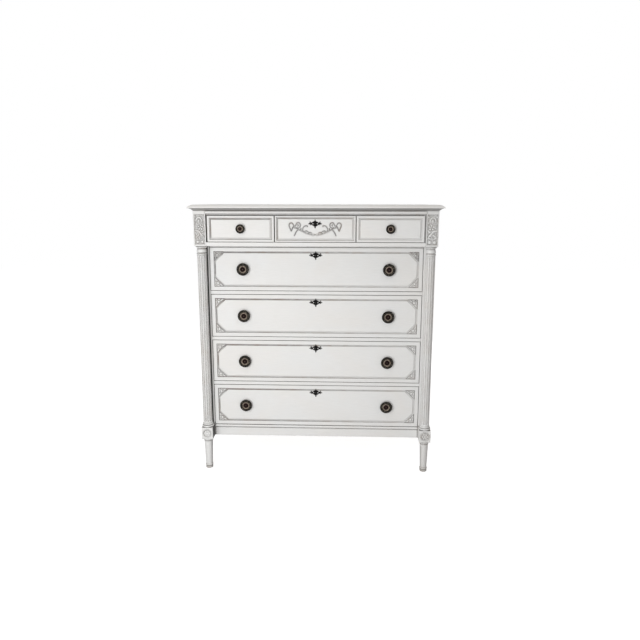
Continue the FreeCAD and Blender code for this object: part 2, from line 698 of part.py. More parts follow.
def drawer_stops():
    """Small blocks on the front rails, which the long drawer fronts shut against."""
    y0 = RECESS_Y + LONG_FRONT_THICKNESS + STOP_CLEARANCE
    stops = []
    for z in LONG_FLOORS:
        for x in (-STOP_X, STOP_X):
            half = STOP_WIDTH / 2
            stops.append(box(x - half, x + half, y0, y0 + STOP_DEPTH, z, z + STOP_HEIGHT))
    return stops


# ------------------------------------------------------------ drawers
LONG_BOX_X = LONG_FRONT_X - 1.0


def cut_corners(x0, x1, z0, z1, clip):
    """Rectangle outline; a clip above 0 cuts its four corners."""
    if clip <= 0:
        return [(x0, z0), (x1, z0), (x1, z1), (x0, z1)]
    return [
        (x0 + clip, z0), (x1 - clip, z0), (x1, z0 + clip), (x1, z1 - clip),
        (x1 - clip, z1), (x0 + clip, z1), (x0, z1 - clip), (x0, z0 + clip),
    ]


def spandrels(x0, x1, z0, z1, y_face):
    """Raised triangles in the four corners that the field leaves open."""
    y_floor = y_face + GROOVE_DEPTH
    lean = 1.2
    shapes = []
    for cx, sx in ((x0, 1), (x1, -1)):
        for cz, sz in ((z0, 1), (z1, -1)):
            outlines = []
            for inset in (1.0, 1.0 + lean):
                reach = SPANDREL_SIZE - 2.4 * (inset - 1.0)
                outlines.append([
                    (cx + sx * inset, cz + sz * inset),
                    (cx + sx * reach, cz + sz * inset),
                    (cx + sx * inset, cz + sz * reach),
                ])
            shapes.append(frustum(outlines[0], outlines[1], y_floor, y_floor - SPANDREL_RISE))
    return shapes


def drawer_front(x0, x1, z0, z1, y_face, thickness, border, clip):
    """Board with a flat border, a sunk groove and a raised field."""
    board = box(x0, x1, y_face, y_face + thickness, z0, z1)
    gx0, gx1, gz0, gz1 = x0 + border, x1 - border, z0 + border, z1 - border
    y_floor = y_face + GROOVE_DEPTH
    sunk = box(gx0, gx1, y_face, y_floor, gz0, gz1)
    w = GROOVE_WIDTH - FIELD_SLOPE
    corner = clip * (2 - math.sqrt(2))
    base = cut_corners(gx0 + w, gx1 - w, gz0 + w, gz1 - w, clip)
    w = GROOVE_WIDTH
    clip_top = clip - (corner / clip) * FIELD_SLOPE if clip > 0 else 0
    top = cut_corners(gx0 + w, gx1 - w, gz0 + w, gz1 - w, clip_top)
    sunk = sunk.cut(frustum(base, top, y_floor, y_face))
    if clip > 0:
        for triangle in spandrels(gx0, gx1, gz0, gz1, y_face):
            sunk = sunk.cut(triangle)
    return board.cut(sunk)


def drawer_box(x0, x1, z_floor, z_front_top, y_start):
    """Two sides, a back and a bottom; the bottom sits in grooves in the sides."""
    z0 = z_floor + RUN_CLEARANCE
    z_side = z_front_top - SIDE_TOP_DROP
    z_bottom = z0 + BOTTOM_LIFT
    t = SIDE_THICKNESS
    bottom = bottom_board(x0, x1, z_floor, y_start, 0)
    groove = bottom_board(x0, x1, z_floor, y_start, FIT_CLEARANCE)
    left = box(x0, x0 + t, y_start, DRAWER_END, z0, z_side).cut(groove)
    right = box(x1 - t, x1, y_start, DRAWER_END, z0, z_side).cut(groove)
    back = box(x0 + t, x1 - t, DRAWER_END - DRAWER_BACK_THICKNESS, DRAWER_END,
               z_bottom + DRAWER_BOTTOM_THICKNESS + FIT_CLEARANCE,
               z_front_top - BACK_TOP_DROP)
    return [left, right, back, bottom]


def bottom_board(x0, x1, z_floor, y_start, grow):
    """Drawer bottom, or with a positive grow the groove that holds it."""
    z = z_floor + RUN_CLEARANCE + BOTTOM_LIFT
    side = SIDE_THICKNESS - BOTTOM_GROOVE
    return box(x0 + side - grow, x1 - side + grow,
               y_start - BOTTOM_GROOVE - grow, DRAWER_END + grow,
               z - grow, z + DRAWER_BOTTOM_THICKNESS + grow)


def bolt_y(y_back):
    """Front of the lock bolt, for a lock let into the back of a drawer front."""
    return y_back - LOCK_SINK + LOCK_WALL + BOLT_CLEARANCE


def keyhole(x, y0, y1, z):
    """Round hole with a slot below it, cut through from y0 to y1."""
    slot = box(x - KEYHOLE_SLOT / 2, x + KEYHOLE_SLOT / 2, y0, y1, z - KEYHOLE_DROP, z)
    return rod(x, y0, y1, z, KEYHOLE_RADIUS).fuse(slot)


def lock_place(z_top):
    """Height of the keyhole below the top of a drawer front."""
    return z_top - KEYHOLE_BELOW_TOP


def lock_pocket(y_back, z_top):
    """Recess in the back of a drawer front, which the lock is let into."""
    half = LOCK_WIDTH / 2 + FIT_CLEARANCE
    return box(-half, half, y_back - LOCK_SINK - FIT_CLEARANCE, y_back,
               z_top - LOCK_HEIGHT - FIT_CLEARANCE, z_top)


def lock(y_back, z_top):
    """Lock case with a keyhole, a key pin and a channel for the bolt."""
    y0 = y_back - LOCK_SINK
    case = box(-LOCK_WIDTH / 2, LOCK_WIDTH / 2, y0, y0 + LOCK_THICKNESS,
               z_top - LOCK_HEIGHT, z_top)
    c = BOLT_CLEARANCE
    y_bolt = bolt_y(y_back)
    half = BOLT_WIDTH / 2 + c
    channel = box(-half, half, y_bolt - c, y_bolt + BOLT_THICKNESS + c,
                  z_top - BOLT_HEIGHT - 2 * c, z_top)
    z_key = lock_place(z_top)
    depth = LOCK_THICKNESS - 2 * LOCK_WALL
    case = case.cut(channel).cut(keyhole(0, y0, y0 + depth, z_key))
    pin = rod(0, y0, y0 + depth + 1, z_key, KEY_PIN_RADIUS)
    return case.fuse(pin).removeSplitter()


def lock_bolt(y_back, z_top):
    """Flat bolt, drawn in; the key throws it up into the rail above."""
    y0 = bolt_y(y_back)
    drop = BOLT_CLEARANCE
    half = BOLT_WIDTH / 2
    return box(-half, half, y0, y0 + BOLT_THICKNESS, z_top - BOLT_HEIGHT - drop, z_top - drop)


def knob(x, y_face, z, diameter, proud, front_thickness):
    """Collar, dished round knob on a waisted neck with a screwed shank, and its nut inside."""
    r = diameter / 2
    collar_profile = [
        (SHANK_RADIUS, 0),
        (0.50 * r, 0),
        (0.50 * r, 0.4 * COLLAR_THICKNESS),
        (0.42 * r, COLLAR_THICKNESS, 0.48 * r, 0.8 * COLLAR_THICKNESS),
        (SHANK_RADIUS, COLLAR_THICKNESS),
    ]
    collar = turned_forward(collar_profile, x, y_face, z)
    back = -(front_thickness + NUT_THICKNESS + 1)
    knob_profile = [
        (0, back),
        (SHANK_RADIUS, back),
        (SHANK_RADIUS, COLLAR_THICKNESS),
        (0.36 * r, COLLAR_THICKNESS),
        (0.28 * r, 0.40 * proud, 0.29 * r, 0.27 * proud),
        (0.88 * r, 0.62 * proud, 0.50 * r, 0.53 * proud),
        (r, 0.75 * proud, 0.97 * r, 0.66 * proud),
        (0.90 * r, 0.90 * proud, 0.98 * r, 0.86 * proud),
        (0.60 * r, 0.84 * proud, 0.76 * r, 0.81 * proud),
        (0.48 * r, 0.93 * proud, 0.56 * r, 0.92 * proud),
        (0.40 * r, 0.84 * proud),
        (0, proud) + dome_middle(0.40 * r, 0.84 * proud, proud),
    ]
    body = turned_forward(knob_profile, x, y_face, z)
    half = NUT_SIZE / 2
    y_in = y_face + front_thickness
    nut = box(x - half, x + half, y_in, y_in + NUT_THICKNESS, z - half, z + half)
    nut = nut.cut(rod(x, y_in, y_in + NUT_THICKNESS, z, SHANK_RADIUS))
    return [collar, body, nut]


def knob_hole(x, y_face, z, thickness):
    return rod(x, y_face, y_face + thickness, z, SHANK_RADIUS + SHANK_CLEARANCE)


def ring(x, z, y0, y1, outer, inner):
    """Flat pierced ring."""
    return rod(x, y0, y1, z, outer).cut(rod(x, y0, y1, z, inner))


def escutcheon(y_face, z_key):
    """Pierced key plate: a diamond with a finial and a drop, and a lobed arm on each side."""
    y0 = y_face - ESCUTCHEON_THICKNESS
    w = ESCUTCHEON_WIDTH / 2
    h = ESCUTCHEON_HEIGHT / 2
    right = [
        (0.07 * w, 0.74 * h), (0.13 * w, 0.58 * h), (0.70 * w, 0.08 * h),
        (0.70 * w, -0.08 * h), (0.15 * w, -0.54 * h), (0.05 * w, -0.64 * h),
    ]
    left = [(-x, z) for x, z in reversed(right)]
    outline = [(0, h)] + right + [(0, -h)] + left
    plate = along_y([(x, z_key + z) for x, z in outline], y0, y_face)
    plate = plate.fuse(rod(0, y0, y_face, z_key - 0.80 * h, 0.11 * w))
    arm = [
        (0.60 * w, 0.12 * h), (0.64 * w, 0.42 * h), (0.75 * w, 0.50 * h), (0.83 * w, 0.38 * h),
        (0.80 * w, 0.15 * h), (0.92 * w, 0.15 * h), (w, 0), (0.92 * w, -0.14 * h),
        (0.80 * w, -0.12 * h), (0.78 * w, -0.30 * h), (0.68 * w, -0.30 * h), (0.62 * w, -0.10 * h),
    ]
    for side in (-1, 1):
        plate = plate.fuse(along_y([(side * x, z_key + z) for x, z in arm], y0, y_face))
        plate = plate.cut(rod(side * 0.34 * w, y0, y_face, z_key, 0.085 * w))
    return plate.cut(keyhole(0, y0, y_face, z_key)).removeSplitter()


def swag(y_face, z_mid):
    """Applied garland: a hanging round rope, and on each side a ribbon bow and a scroll."""
    half = SWAG_SPAN / 2 - BOW_LENGTH
    z_hook = z_mid + SWAG_SAG / 2
    z_low = z_mid - SWAG_SAG / 2
    hook = V(half, y_face, z_hook)
    path = Part.Wire([Part.Arc(V(-half, y_face, z_hook), V(0, y_face, z_low), hook).toShape()])
    start = Part.Wire([Part.makeCircle(SWAG_RADIUS, V(-half, y_face, z_hook), V(1, 0, -0.72))])
    rope = path.makePipe(Part.Face(start))
    front = box(-SWAG_SPAN, SWAG_SPAN, y_face - 2 * SWAG_RADIUS, y_face,
                z_mid - 2 * SWAG_SAG, z_mid + 2 * SWAG_SAG)
    garland = rope.common(front)
    y_ribbon = y_face - 0.6 * SWAG_RADIUS
    y_tail = y_face - 0.4 * SWAG_RADIUS
    scroll_x = half / 2 + 1
    scroll_z = z_low + SWAG_SAG / 4 + SWAG_RADIUS / 2 + SCROLL_RADIUS
    for side in (-1, 1):
        knot_x = side * half
        pieces = [rod(knot_x, y_ribbon - 1, y_face, z_hook, RIBBON_WIDTH)]
        for way in (-1, 1):
            pieces.append(ring(knot_x + way * BOW_LENGTH / 2, z_hook + BOW_RISE, y_ribbon, y_face,
                               BOW_LOOP_RADIUS, BOW_LOOP_RADIUS - RIBBON_WIDTH))
        outer_tail = [
            (knot_x - 2 * side, z_hook), (knot_x + 2 * side, z_hook + 2),
            (knot_x + side * 0.85 * BOW_LENGTH, z_hook - 0.50 * TAIL_DROP),
            (knot_x + side * 0.60 * BOW_LENGTH, z_hook - 0.54 * TAIL_DROP),
        ]
        inner_tail = [
            (knot_x - side * 0.60 * BOW_LENGTH, z_hook - 0.24 * TAIL_DROP),
            (knot_x - side * 0.36 * BOW_LENGTH, z_hook - 0.19 * TAIL_DROP),
            (knot_x + side * 0.30 * BOW_LENGTH, z_hook - TAIL_DROP),
            (knot_x + side * 0.05 * BOW_LENGTH, z_hook - TAIL_DROP),
        ]
        pieces += [along_y(tail, y_tail, y_face) for tail in (outer_tail, inner_tail)]
        scroll = ring(side * scroll_x, scroll_z, y_ribbon, y_face,
                      SCROLL_RADIUS, SCROLL_RADIUS - SCROLL_WIDTH)
        x0, x1 = sorted((side * scroll_x, side * (scroll_x - 2 * SCROLL_RADIUS)))
        pieces.append(scroll.cut(box(x0, x1, y_ribbon, y_face, scroll_z - 2 * SCROLL_RADIUS, scroll_z)))
        for piece in pieces:
            garland = garland.fuse(piece)
    return garland.removeSplitter()


def long_drawers():
    """The four long drawers, numbered from the top."""
    y_back = RECESS_Y + LONG_FRONT_THICKNESS
    for number, floor in enumerate(LONG_FLOORS, start=1):
        name = "long_drawer_%d_" % number
        z0 = floor + FRONT_GAP
        z1 = z0 + LONG_DRAWER_HEIGHT
        z_knob = (z0 + z1) / 2
        z_key = lock_place(z1)
        front = drawer_front(-LONG_FRONT_X, LONG_FRONT_X, z0, z1, RECESS_Y,
                             LONG_FRONT_THICKNESS, LONG_BORDER, FIELD_CLIP)
        front = front.cut(lock_pocket(y_back, z1))
        front = front.cut(keyhole(0, RECESS_Y, y_back, z_key))
        front = front.cut(bottom_board(-LONG_BOX_X, LONG_BOX_X, floor, y_back, FIT_CLEARANCE))
        knobs = []
        for x in (-LARGE_KNOB_X, LARGE_KNOB_X):
            front = front.cut(knob_hole(x, RECESS_Y, z_knob, LONG_FRONT_THICKNESS))
            knobs += knob(x, RECESS_Y, z_knob, LARGE_KNOB_DIAMETER, LARGE_KNOB_PROUD,
                          LONG_FRONT_THICKNESS)
        save(name + "front", front)
        save(name + "box", *drawer_box(-LONG_BOX_X, LONG_BOX_X, floor, z1, y_back))
        save(name + "knobs", *knobs)
        save(name + "escutcheon", escutcheon(RECESS_Y, z_key))
        save(name + "lock", lock(y_back, z1))
        save(name + "lock_bolt", lock_bolt(y_back, z1))


def frieze_drawers():
    """Two side drawers with a knob each, and the centre drawer with its lock and swag."""
    floor = FRIEZE_RAIL_TOP
    y_back = FRIEZE_Y + FRIEZE_FRONT_THICKNESS
    z0 = floor + FRONT_GAP
    z1 = z0 + FRIEZE_DRAWER_HEIGHT
    z_knob = (z0 + z1) / 2
    partition = PARTITION_THICKNESS / 2 + GUIDE_CLEARANCE
    x0 = FRIEZE_DIVISION_X + FRIEZE_JOINT / 2
    x1 = STRIP_IN - FRIEZE_SIDE_GAP
    box_x0 = FRIEZE_DIVISION_X + partition
    front = drawer_front(x0, x1, z0, z1, FRIEZE_Y, FRIEZE_FRONT_THICKNESS, SIDE_BORDER, 0)
    x_knob = (x0 + x1) / 2
    front = front.cut(knob_hole(x_knob, FRIEZE_Y, z_knob, FRIEZE_FRONT_THICKNESS))
    front = front.cut(bottom_board(box_x0, x1, floor, y_back, FIT_CLEARANCE))
    boards = drawer_box(box_x0, x1, floor, z1, y_back)
    fittings = knob(x_knob, FRIEZE_Y, z_knob, SMALL_KNOB_DIAMETER, SMALL_KNOB_PROUD,
                    FRIEZE_FRONT_THICKNESS)
    save("frieze_drawer_right_front", front)
    save("frieze_drawer_right_box", *boards)
    save("frieze_drawer_right_knob", *fittings)
    save("frieze_drawer_left_front", mirrored(front))
    save("frieze_drawer_left_box", *[mirrored(board) for board in boards])
    save("frieze_drawer_left_knob", *[mirrored(piece) for piece in fittings])

    half = FRIEZE_DIVISION_X - FRIEZE_JOINT / 2
    box_half = FRIEZE_DIVISION_X - partition
    z_key = lock_place(z1)
    front = drawer_front(-half, half, z0, z1, FRIEZE_Y, FRIEZE_FRONT_THICKNESS,
                         CENTRE_BORDER, 0)
    front = front.cut(lock_pocket(y_back, z1))
    front = front.cut(keyhole(0, FRIEZE_Y, y_back, z_key))
    front = front.cut(bottom_board(-box_half, box_half, floor, y_back, FIT_CLEARANCE))
    save("frieze_drawer_centre_front", front)
    save("frieze_drawer_centre_box", *drawer_box(-box_half, box_half, floor, z1, y_back))
    save("frieze_drawer_centre_escutcheon", escutcheon(FRIEZE_Y, z_key))
    save("frieze_drawer_centre_lock", lock(y_back, z1))
    save("frieze_drawer_centre_lock_bolt", lock_bolt(y_back, z1))
    save("frieze_drawer_centre_swag", swag(FRIEZE_Y, z_knob - 8))


# ------------------------------------------------------------ the whole chest
def carcass():
    save("top_board", top_board())
    save("frieze_moulding", frieze_moulding())
    save("frieze_rail", frieze_rail())
    save("frieze_partitions", *frieze_partitions())
    save("frieze_dust_board", frieze_dust_board())
    for name, piece in (
        ("corner_block", corner_block()),
        ("column", column()),
        ("front_leg", front_leg()),
        ("rear_leg", rear_leg()),
        ("front_stile", front_stile()),
        ("side_panel", side_panel()),
    ):
        save(name + "_right", piece)
        save(name + "_left", mirrored(piece))
    save("leg_rosettes", *leg_rosettes())
    save("case_rails", *case_rails())
    save("drawer_rails", *drawer_rails())
    save("front_apron", front_apron())
    save("back_panel", back_panel())
    save("drawer_runners", *drawer_runners())
    save("drawer_stops", *drawer_stops())


os.makedirs("parts", exist_ok=True)
carcass()
frieze_drawers()
long_drawers()
print("overall", TOP_WIDTH, TOP_DEPTH, TOTAL_HEIGHT)
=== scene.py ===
import functools
import json
import math

import bmesh
import bpy
import numpy as np
from mathutils import Matrix, Vector

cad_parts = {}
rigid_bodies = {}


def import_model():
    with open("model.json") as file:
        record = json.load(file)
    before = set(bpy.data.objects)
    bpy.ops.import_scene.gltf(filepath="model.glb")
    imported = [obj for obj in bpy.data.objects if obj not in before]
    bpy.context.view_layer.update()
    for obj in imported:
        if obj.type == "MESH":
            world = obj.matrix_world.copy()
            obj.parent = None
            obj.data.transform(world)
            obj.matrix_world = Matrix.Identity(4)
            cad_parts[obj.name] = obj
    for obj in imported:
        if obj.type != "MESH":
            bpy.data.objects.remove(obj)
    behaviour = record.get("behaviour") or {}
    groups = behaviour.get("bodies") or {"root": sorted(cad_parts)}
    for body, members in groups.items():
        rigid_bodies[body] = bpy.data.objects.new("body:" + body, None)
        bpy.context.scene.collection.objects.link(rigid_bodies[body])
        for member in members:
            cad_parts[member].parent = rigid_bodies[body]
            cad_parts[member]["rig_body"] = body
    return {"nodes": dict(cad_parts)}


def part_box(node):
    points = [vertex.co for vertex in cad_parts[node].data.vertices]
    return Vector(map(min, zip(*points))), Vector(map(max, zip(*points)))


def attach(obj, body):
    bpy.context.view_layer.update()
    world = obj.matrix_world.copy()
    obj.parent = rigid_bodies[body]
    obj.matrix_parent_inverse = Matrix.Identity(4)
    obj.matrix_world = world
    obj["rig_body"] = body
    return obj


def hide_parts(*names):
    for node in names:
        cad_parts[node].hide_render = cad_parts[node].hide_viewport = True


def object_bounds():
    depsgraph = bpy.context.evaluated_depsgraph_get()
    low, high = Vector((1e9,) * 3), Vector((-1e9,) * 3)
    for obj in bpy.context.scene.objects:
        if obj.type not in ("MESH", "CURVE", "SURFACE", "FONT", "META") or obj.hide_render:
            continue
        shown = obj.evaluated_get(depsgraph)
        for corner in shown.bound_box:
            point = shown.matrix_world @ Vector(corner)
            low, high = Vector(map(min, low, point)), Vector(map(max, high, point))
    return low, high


for leftover in list(bpy.data.objects):
    bpy.data.objects.remove(leftover)
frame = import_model()
cad_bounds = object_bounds()

# ------------------------------------------------------------ sizes
# The frame and all objects are in metres. Ornament is drawn in millimetres on a flat
# sheet (across, up, out) and set in its place by a Seat.
MM = 0.001
BOARD_ROUNDING = 1.0 * MM      # rounded edges of painted boards
FRONT_ROUNDING = 0.8 * MM
TOP_ROUNDING = 0.6 * MM
ROUNDING_SEGMENTS = 2
MERGED_WITHIN = 0.002 * MM     # corners of a CAD mesh that fall together
FLAT_WITHIN = math.radians(0.5)
ROUNDED_ABOVE = math.radians(30)
SMOOTH_BELOW = math.radians(38)
SMOOTH_FACES = math.radians(50)

LONG_DRAWERS = (1, 2, 3, 4)
SIDES = (("left", -1), ("right", 1))

BLOCK_MARGIN = 4.5             # plain frame round the carved panel of a corner block
BLOCK_CAP = 14.0
BLOCK_BASE = 7.0
BLOCK_SINK = 3.0
BLOCK_STEP = 0.7               # the steps are the grid widths of the carvings
ROSETTE_RADIUS = 18.5
LONG_BORDER = 16.0             # flat border of a long drawer, outside its groove
GROOVE_DEPTH = 4.0
SPANDREL_INSET = 1.0
SPANDREL_REACH = 43.0
SPANDREL_RISE = 2.8
SPANDREL_STEP = 0.6
SWAG_STEP = 0.5
PLATE_STEP = 0.4
PLATE_HOLE_RADIUS = 2.34
PLATE_HOLE_PLACE = 9.35
LARGE_KNOB_RADIUS = 27.0
SMALL_KNOB_RADIUS = 19.25
COLLAR_THICKNESS = 3.0
BEAD_WEAR = 0.12               # rubbed bronze on each millimetre that a bead stands up
SHANK_RADIUS = 2.5
NUT_SIZE = 11.0
NUT_THICKNESS = 4.0
KEYHOLE_RADIUS = 2.6
KEYHOLE_SLOT = 2.4
KEYHOLE_DROP = 8.0

CAMERA_PLACE = (0.120, -2.739, 1.190)
CAMERA_YAW = -0.0396
CAMERA_PITCH = 0.1948
CAMERA_ROLL = 0.0008
CAMERA_LENS = 33.5
CAMERA_SENSOR = 36.0

# ------------------------------------------------------------ looks
PAINT_COOL = (0.800, 0.800, 0.795, 1)
PAINT_WARM = (0.800, 0.785, 0.765, 1)
# Glaze colours that also carry painted shade: grey and brown in hollows and grooves, deep in
# recesses, under on what looks down, and a near-black one for painted shadows.
GLAZE_GREY = (0.215, 0.208, 0.205, 1)
GLAZE_BROWN = (0.225, 0.185, 0.155, 1)
GLAZE_DEEP = (0.050, 0.042, 0.036, 1)
GLAZE_UNDER = (0.150, 0.146, 0.140, 1)
GRIME = (0.012, 0.011, 0.009, 1)
PAINT_WORN = (0.400, 0.365, 0.330, 1)
WOOD_LIGHT = (0.560, 0.400, 0.245, 1)
WOOD_DARK = (0.360, 0.225, 0.120, 1)
BRONZE_DARK = (0.005, 0.005, 0.004, 1)
BRONZE_WORN = (0.270, 0.218, 0.175, 1)
BRONZE_SPOT = (0.078, 0.072, 0.058, 1)
BRONZE_RED = (0.008, 0.002, 0.002, 1)
IRON_DARK = (0.002, 0.002, 0.002, 1)
IRON_WORN = (0.012, 0.011, 0.010, 1)
LOCK_BRIGHT = (0.500, 0.440, 0.330, 1)
LOCK_DULL = (0.280, 0.235, 0.160, 1)
FLOOR_PALE = (0.400, 0.400, 0.398, 1)
FLOOR_GLOW = 0.86
FLOOR_HALF = 8.0
ROOM_LIGHT = (0.335, 0.323, 0.309, 1)
WHITE = (1.0, 1.0, 1.0, 1)
KEY_TINT = (0.985, 0.995, 1.0)
ROOM_TINT = (1.0, 0.973, 0.937)
NO_TINT = (1.0, 1.0, 1.0)
LAMPS = (                      # name, place, target, width, height, power, tint
    ("key", (-0.85, -2.35, 1.00), (-0.1, 0.0, 0.70), 1.3, 1.7, 33.9, KEY_TINT),
    ("overhead", (-0.2, -0.6, 2.6), (0.0, 0.0, 1.18), 1.6, 1.2, 6.9, ROOM_TINT),
    ("back", (0.2, 2.4, 0.85), (0.0, 0.0, 0.60), 1.6, 1.2, 22.0, NO_TINT),
    ("low", (0.0, -1.7, 0.16), (0.0, 0.0, 0.14), 1.4, 0.25, 3.5, NO_TINT),
)

ACROSS = (5.0, 120.0, 120.0)   # noise scales that draw the brush marks out
UPRIGHT = (120.0, 120.0, 5.0)
BRUSH_SHARE = 0.07             # the shares are how much of a layer shows where it is full
CORNER_SHARE = 0.80
GROOVE_SHARE = 0.66
SLANTED_SHARE = 0.10
CARVED_SHARE = 0.95
DEEP_SHARE = 0.85
DEEP_SHARE_RIGHT = 0.15        # of the deep painted shade, what is left at the right end
DEEP_REACH = 22.0 * MM
WORN_REACH = 1.6 * MM
THINS_FROM = cad_bounds[0][0] + 133.5 * MM     # the glaze and painted shade thin from here to there in X
THINS_TO = cad_bounds[1][0] - 113.5 * MM
# Where the painted shadows and shade start and where they are full; the scuffs are wear.
MOULDING_GRIME = (1.2 * MM, 0.4 * MM)      # below the drawer's top: where it starts, is full
STILE_GRIME = (4.5 * MM, 8.0 * MM)         # from the stile's inner edge, likewise
LEG_BLOCK_GRIME = (-3.4 * MM, 2.6 * MM)    # above the leg block's underside, likewise
LEG_GRIME = (-18.4 * MM, -25.4 * MM)
SCUFFS = (24.0 * MM, 4.0 * MM)             # above the floor, likewise
# Glaze and painted shade on the carvings; it differs between the two sides as the shade falls.
BLOCK_GLAZE = {"left": 0.32, "right": -0.40}
ROSETTE_GLAZE = {"left": 0.25, "right": 1.0}
SPANDREL_GLAZE = 0.10
SPANDREL_GLAZE_SHADED = 0.55   # more painted shade in the upper corners of the highest long drawer
SWAG_GLAZE = 0.48
VALLEY_BELOW = 0.62            # height, as a share of the highest, below which glaze and painted shade stay
VALLEY_SPREAD = 0.42
VALLEY_WINDOW = 3              # grid points to each side that a height is compared with


# ------------------------------------------------------------ materials
class Graph:
    """A new material and short calls for the nodes that feed its shader."""

    def __init__(self, name):
        self.material = bpy.data.materials.new(name)
        self.material.use_nodes = True
        self.nodes = self.material.node_tree.nodes
        self.links = self.material.node_tree.links
        self.shader = self.nodes["Principled BSDF"]
        self.where = self.add("TexCoord").outputs["Object"]

    def add(self, kind, inputs=None, **settings):
        node = self.nodes.new("ShaderNode" + kind)
        for name, value in settings.items():
            setattr(node, name, value)
        for socket, value in (inputs or {}).items():
            self.feed(node.inputs[socket], value)
        return node

    def feed(self, socket, value):
        if isinstance(value, bpy.types.NodeSocket):
            self.links.new(value, socket)
        else:
            socket.default_value = value

    def scaled(self, scale):
        return self.add("Mapping", {"Vector": self.where, "Scale": scale}).outputs[0]

    def noise(self, vector, scale, detail=3.0, distortion=0.0):
        inputs = {"Vector": vector, "Scale": scale, "Detail": detail, "Distortion": distortion}
        return self.add("TexNoise", inputs).outputs[0]

    def ramp(self, value, low, high, to_low=0.0, to_high=1.0):
        """Value taken from low..high to to_low..to_high, and held there beyond."""
        return self.add("MapRange", {0: value, 1: low, 2: high, 3: to_low, 4: to_high}).outputs[0]

    def maths(self, operation, a, b):
        return self.add("Math", {0: a, 1: b}, operation=operation).outputs[0]

    def mix(self, factor, a, b):
        return self.add("Mix", {0: factor, 6: a, 7: b}, data_type="RGBA").outputs[2]

    def attribute(self, name):
        return self.add("Attribute", attribute_name=name).outputs["Fac"]

    def crevice(self, distance, inside=False):
        """0 in the open, towards 1 in corners, or with inside on sharp edges."""
        node = self.add("AmbientOcclusion", {"Distance": distance}, samples=6, inside=inside)
        return self.maths("SUBTRACT", 1.0, node.outputs["AO"])

    def bump(self, height, distance, strength=1.0):
        inputs = {"Height": height, "Distance": distance, "Strength": strength}
        return self.add("Bump", inputs).outputs[0]

    def finish(self, colour, roughness, normal=None, **uniform):
        self.feed(self.shader.inputs["Base Color"], colour)
        self.feed(self.shader.inputs["Roughness"], roughness)
        if normal is not None:
            self.feed(self.shader.inputs["Normal"], normal)
        for name, value in uniform.items():
            self.shader.inputs[name.replace("_", " ")].default_value = value
        return self.material


def thinning(g, place, left_over):
    """1 at the left end of the chest and left_over at its right end: the glaze and painted shade
    lie thicker at the left.
    """
    return g.ramp(place[0], THINS_FROM, THINS_TO, 1.0, left_over)


def groove_glaze(g, place, looks, front):
    """Glaze and painted shade in the straight grooves of a drawer front, whose face has its Y at
    front.
    """
    depth = g.maths("SUBTRACT", place[1], front)
    sunk = g.maths("MINIMUM", g.ramp(depth, 0.0006, 0.0022), g.ramp(depth, 0.0050, 0.0043))
    return g.maths("MULTIPLY", sunk, g.ramp(looks[1], -0.35, -0.60, 0.0, GROOVE_SHARE))


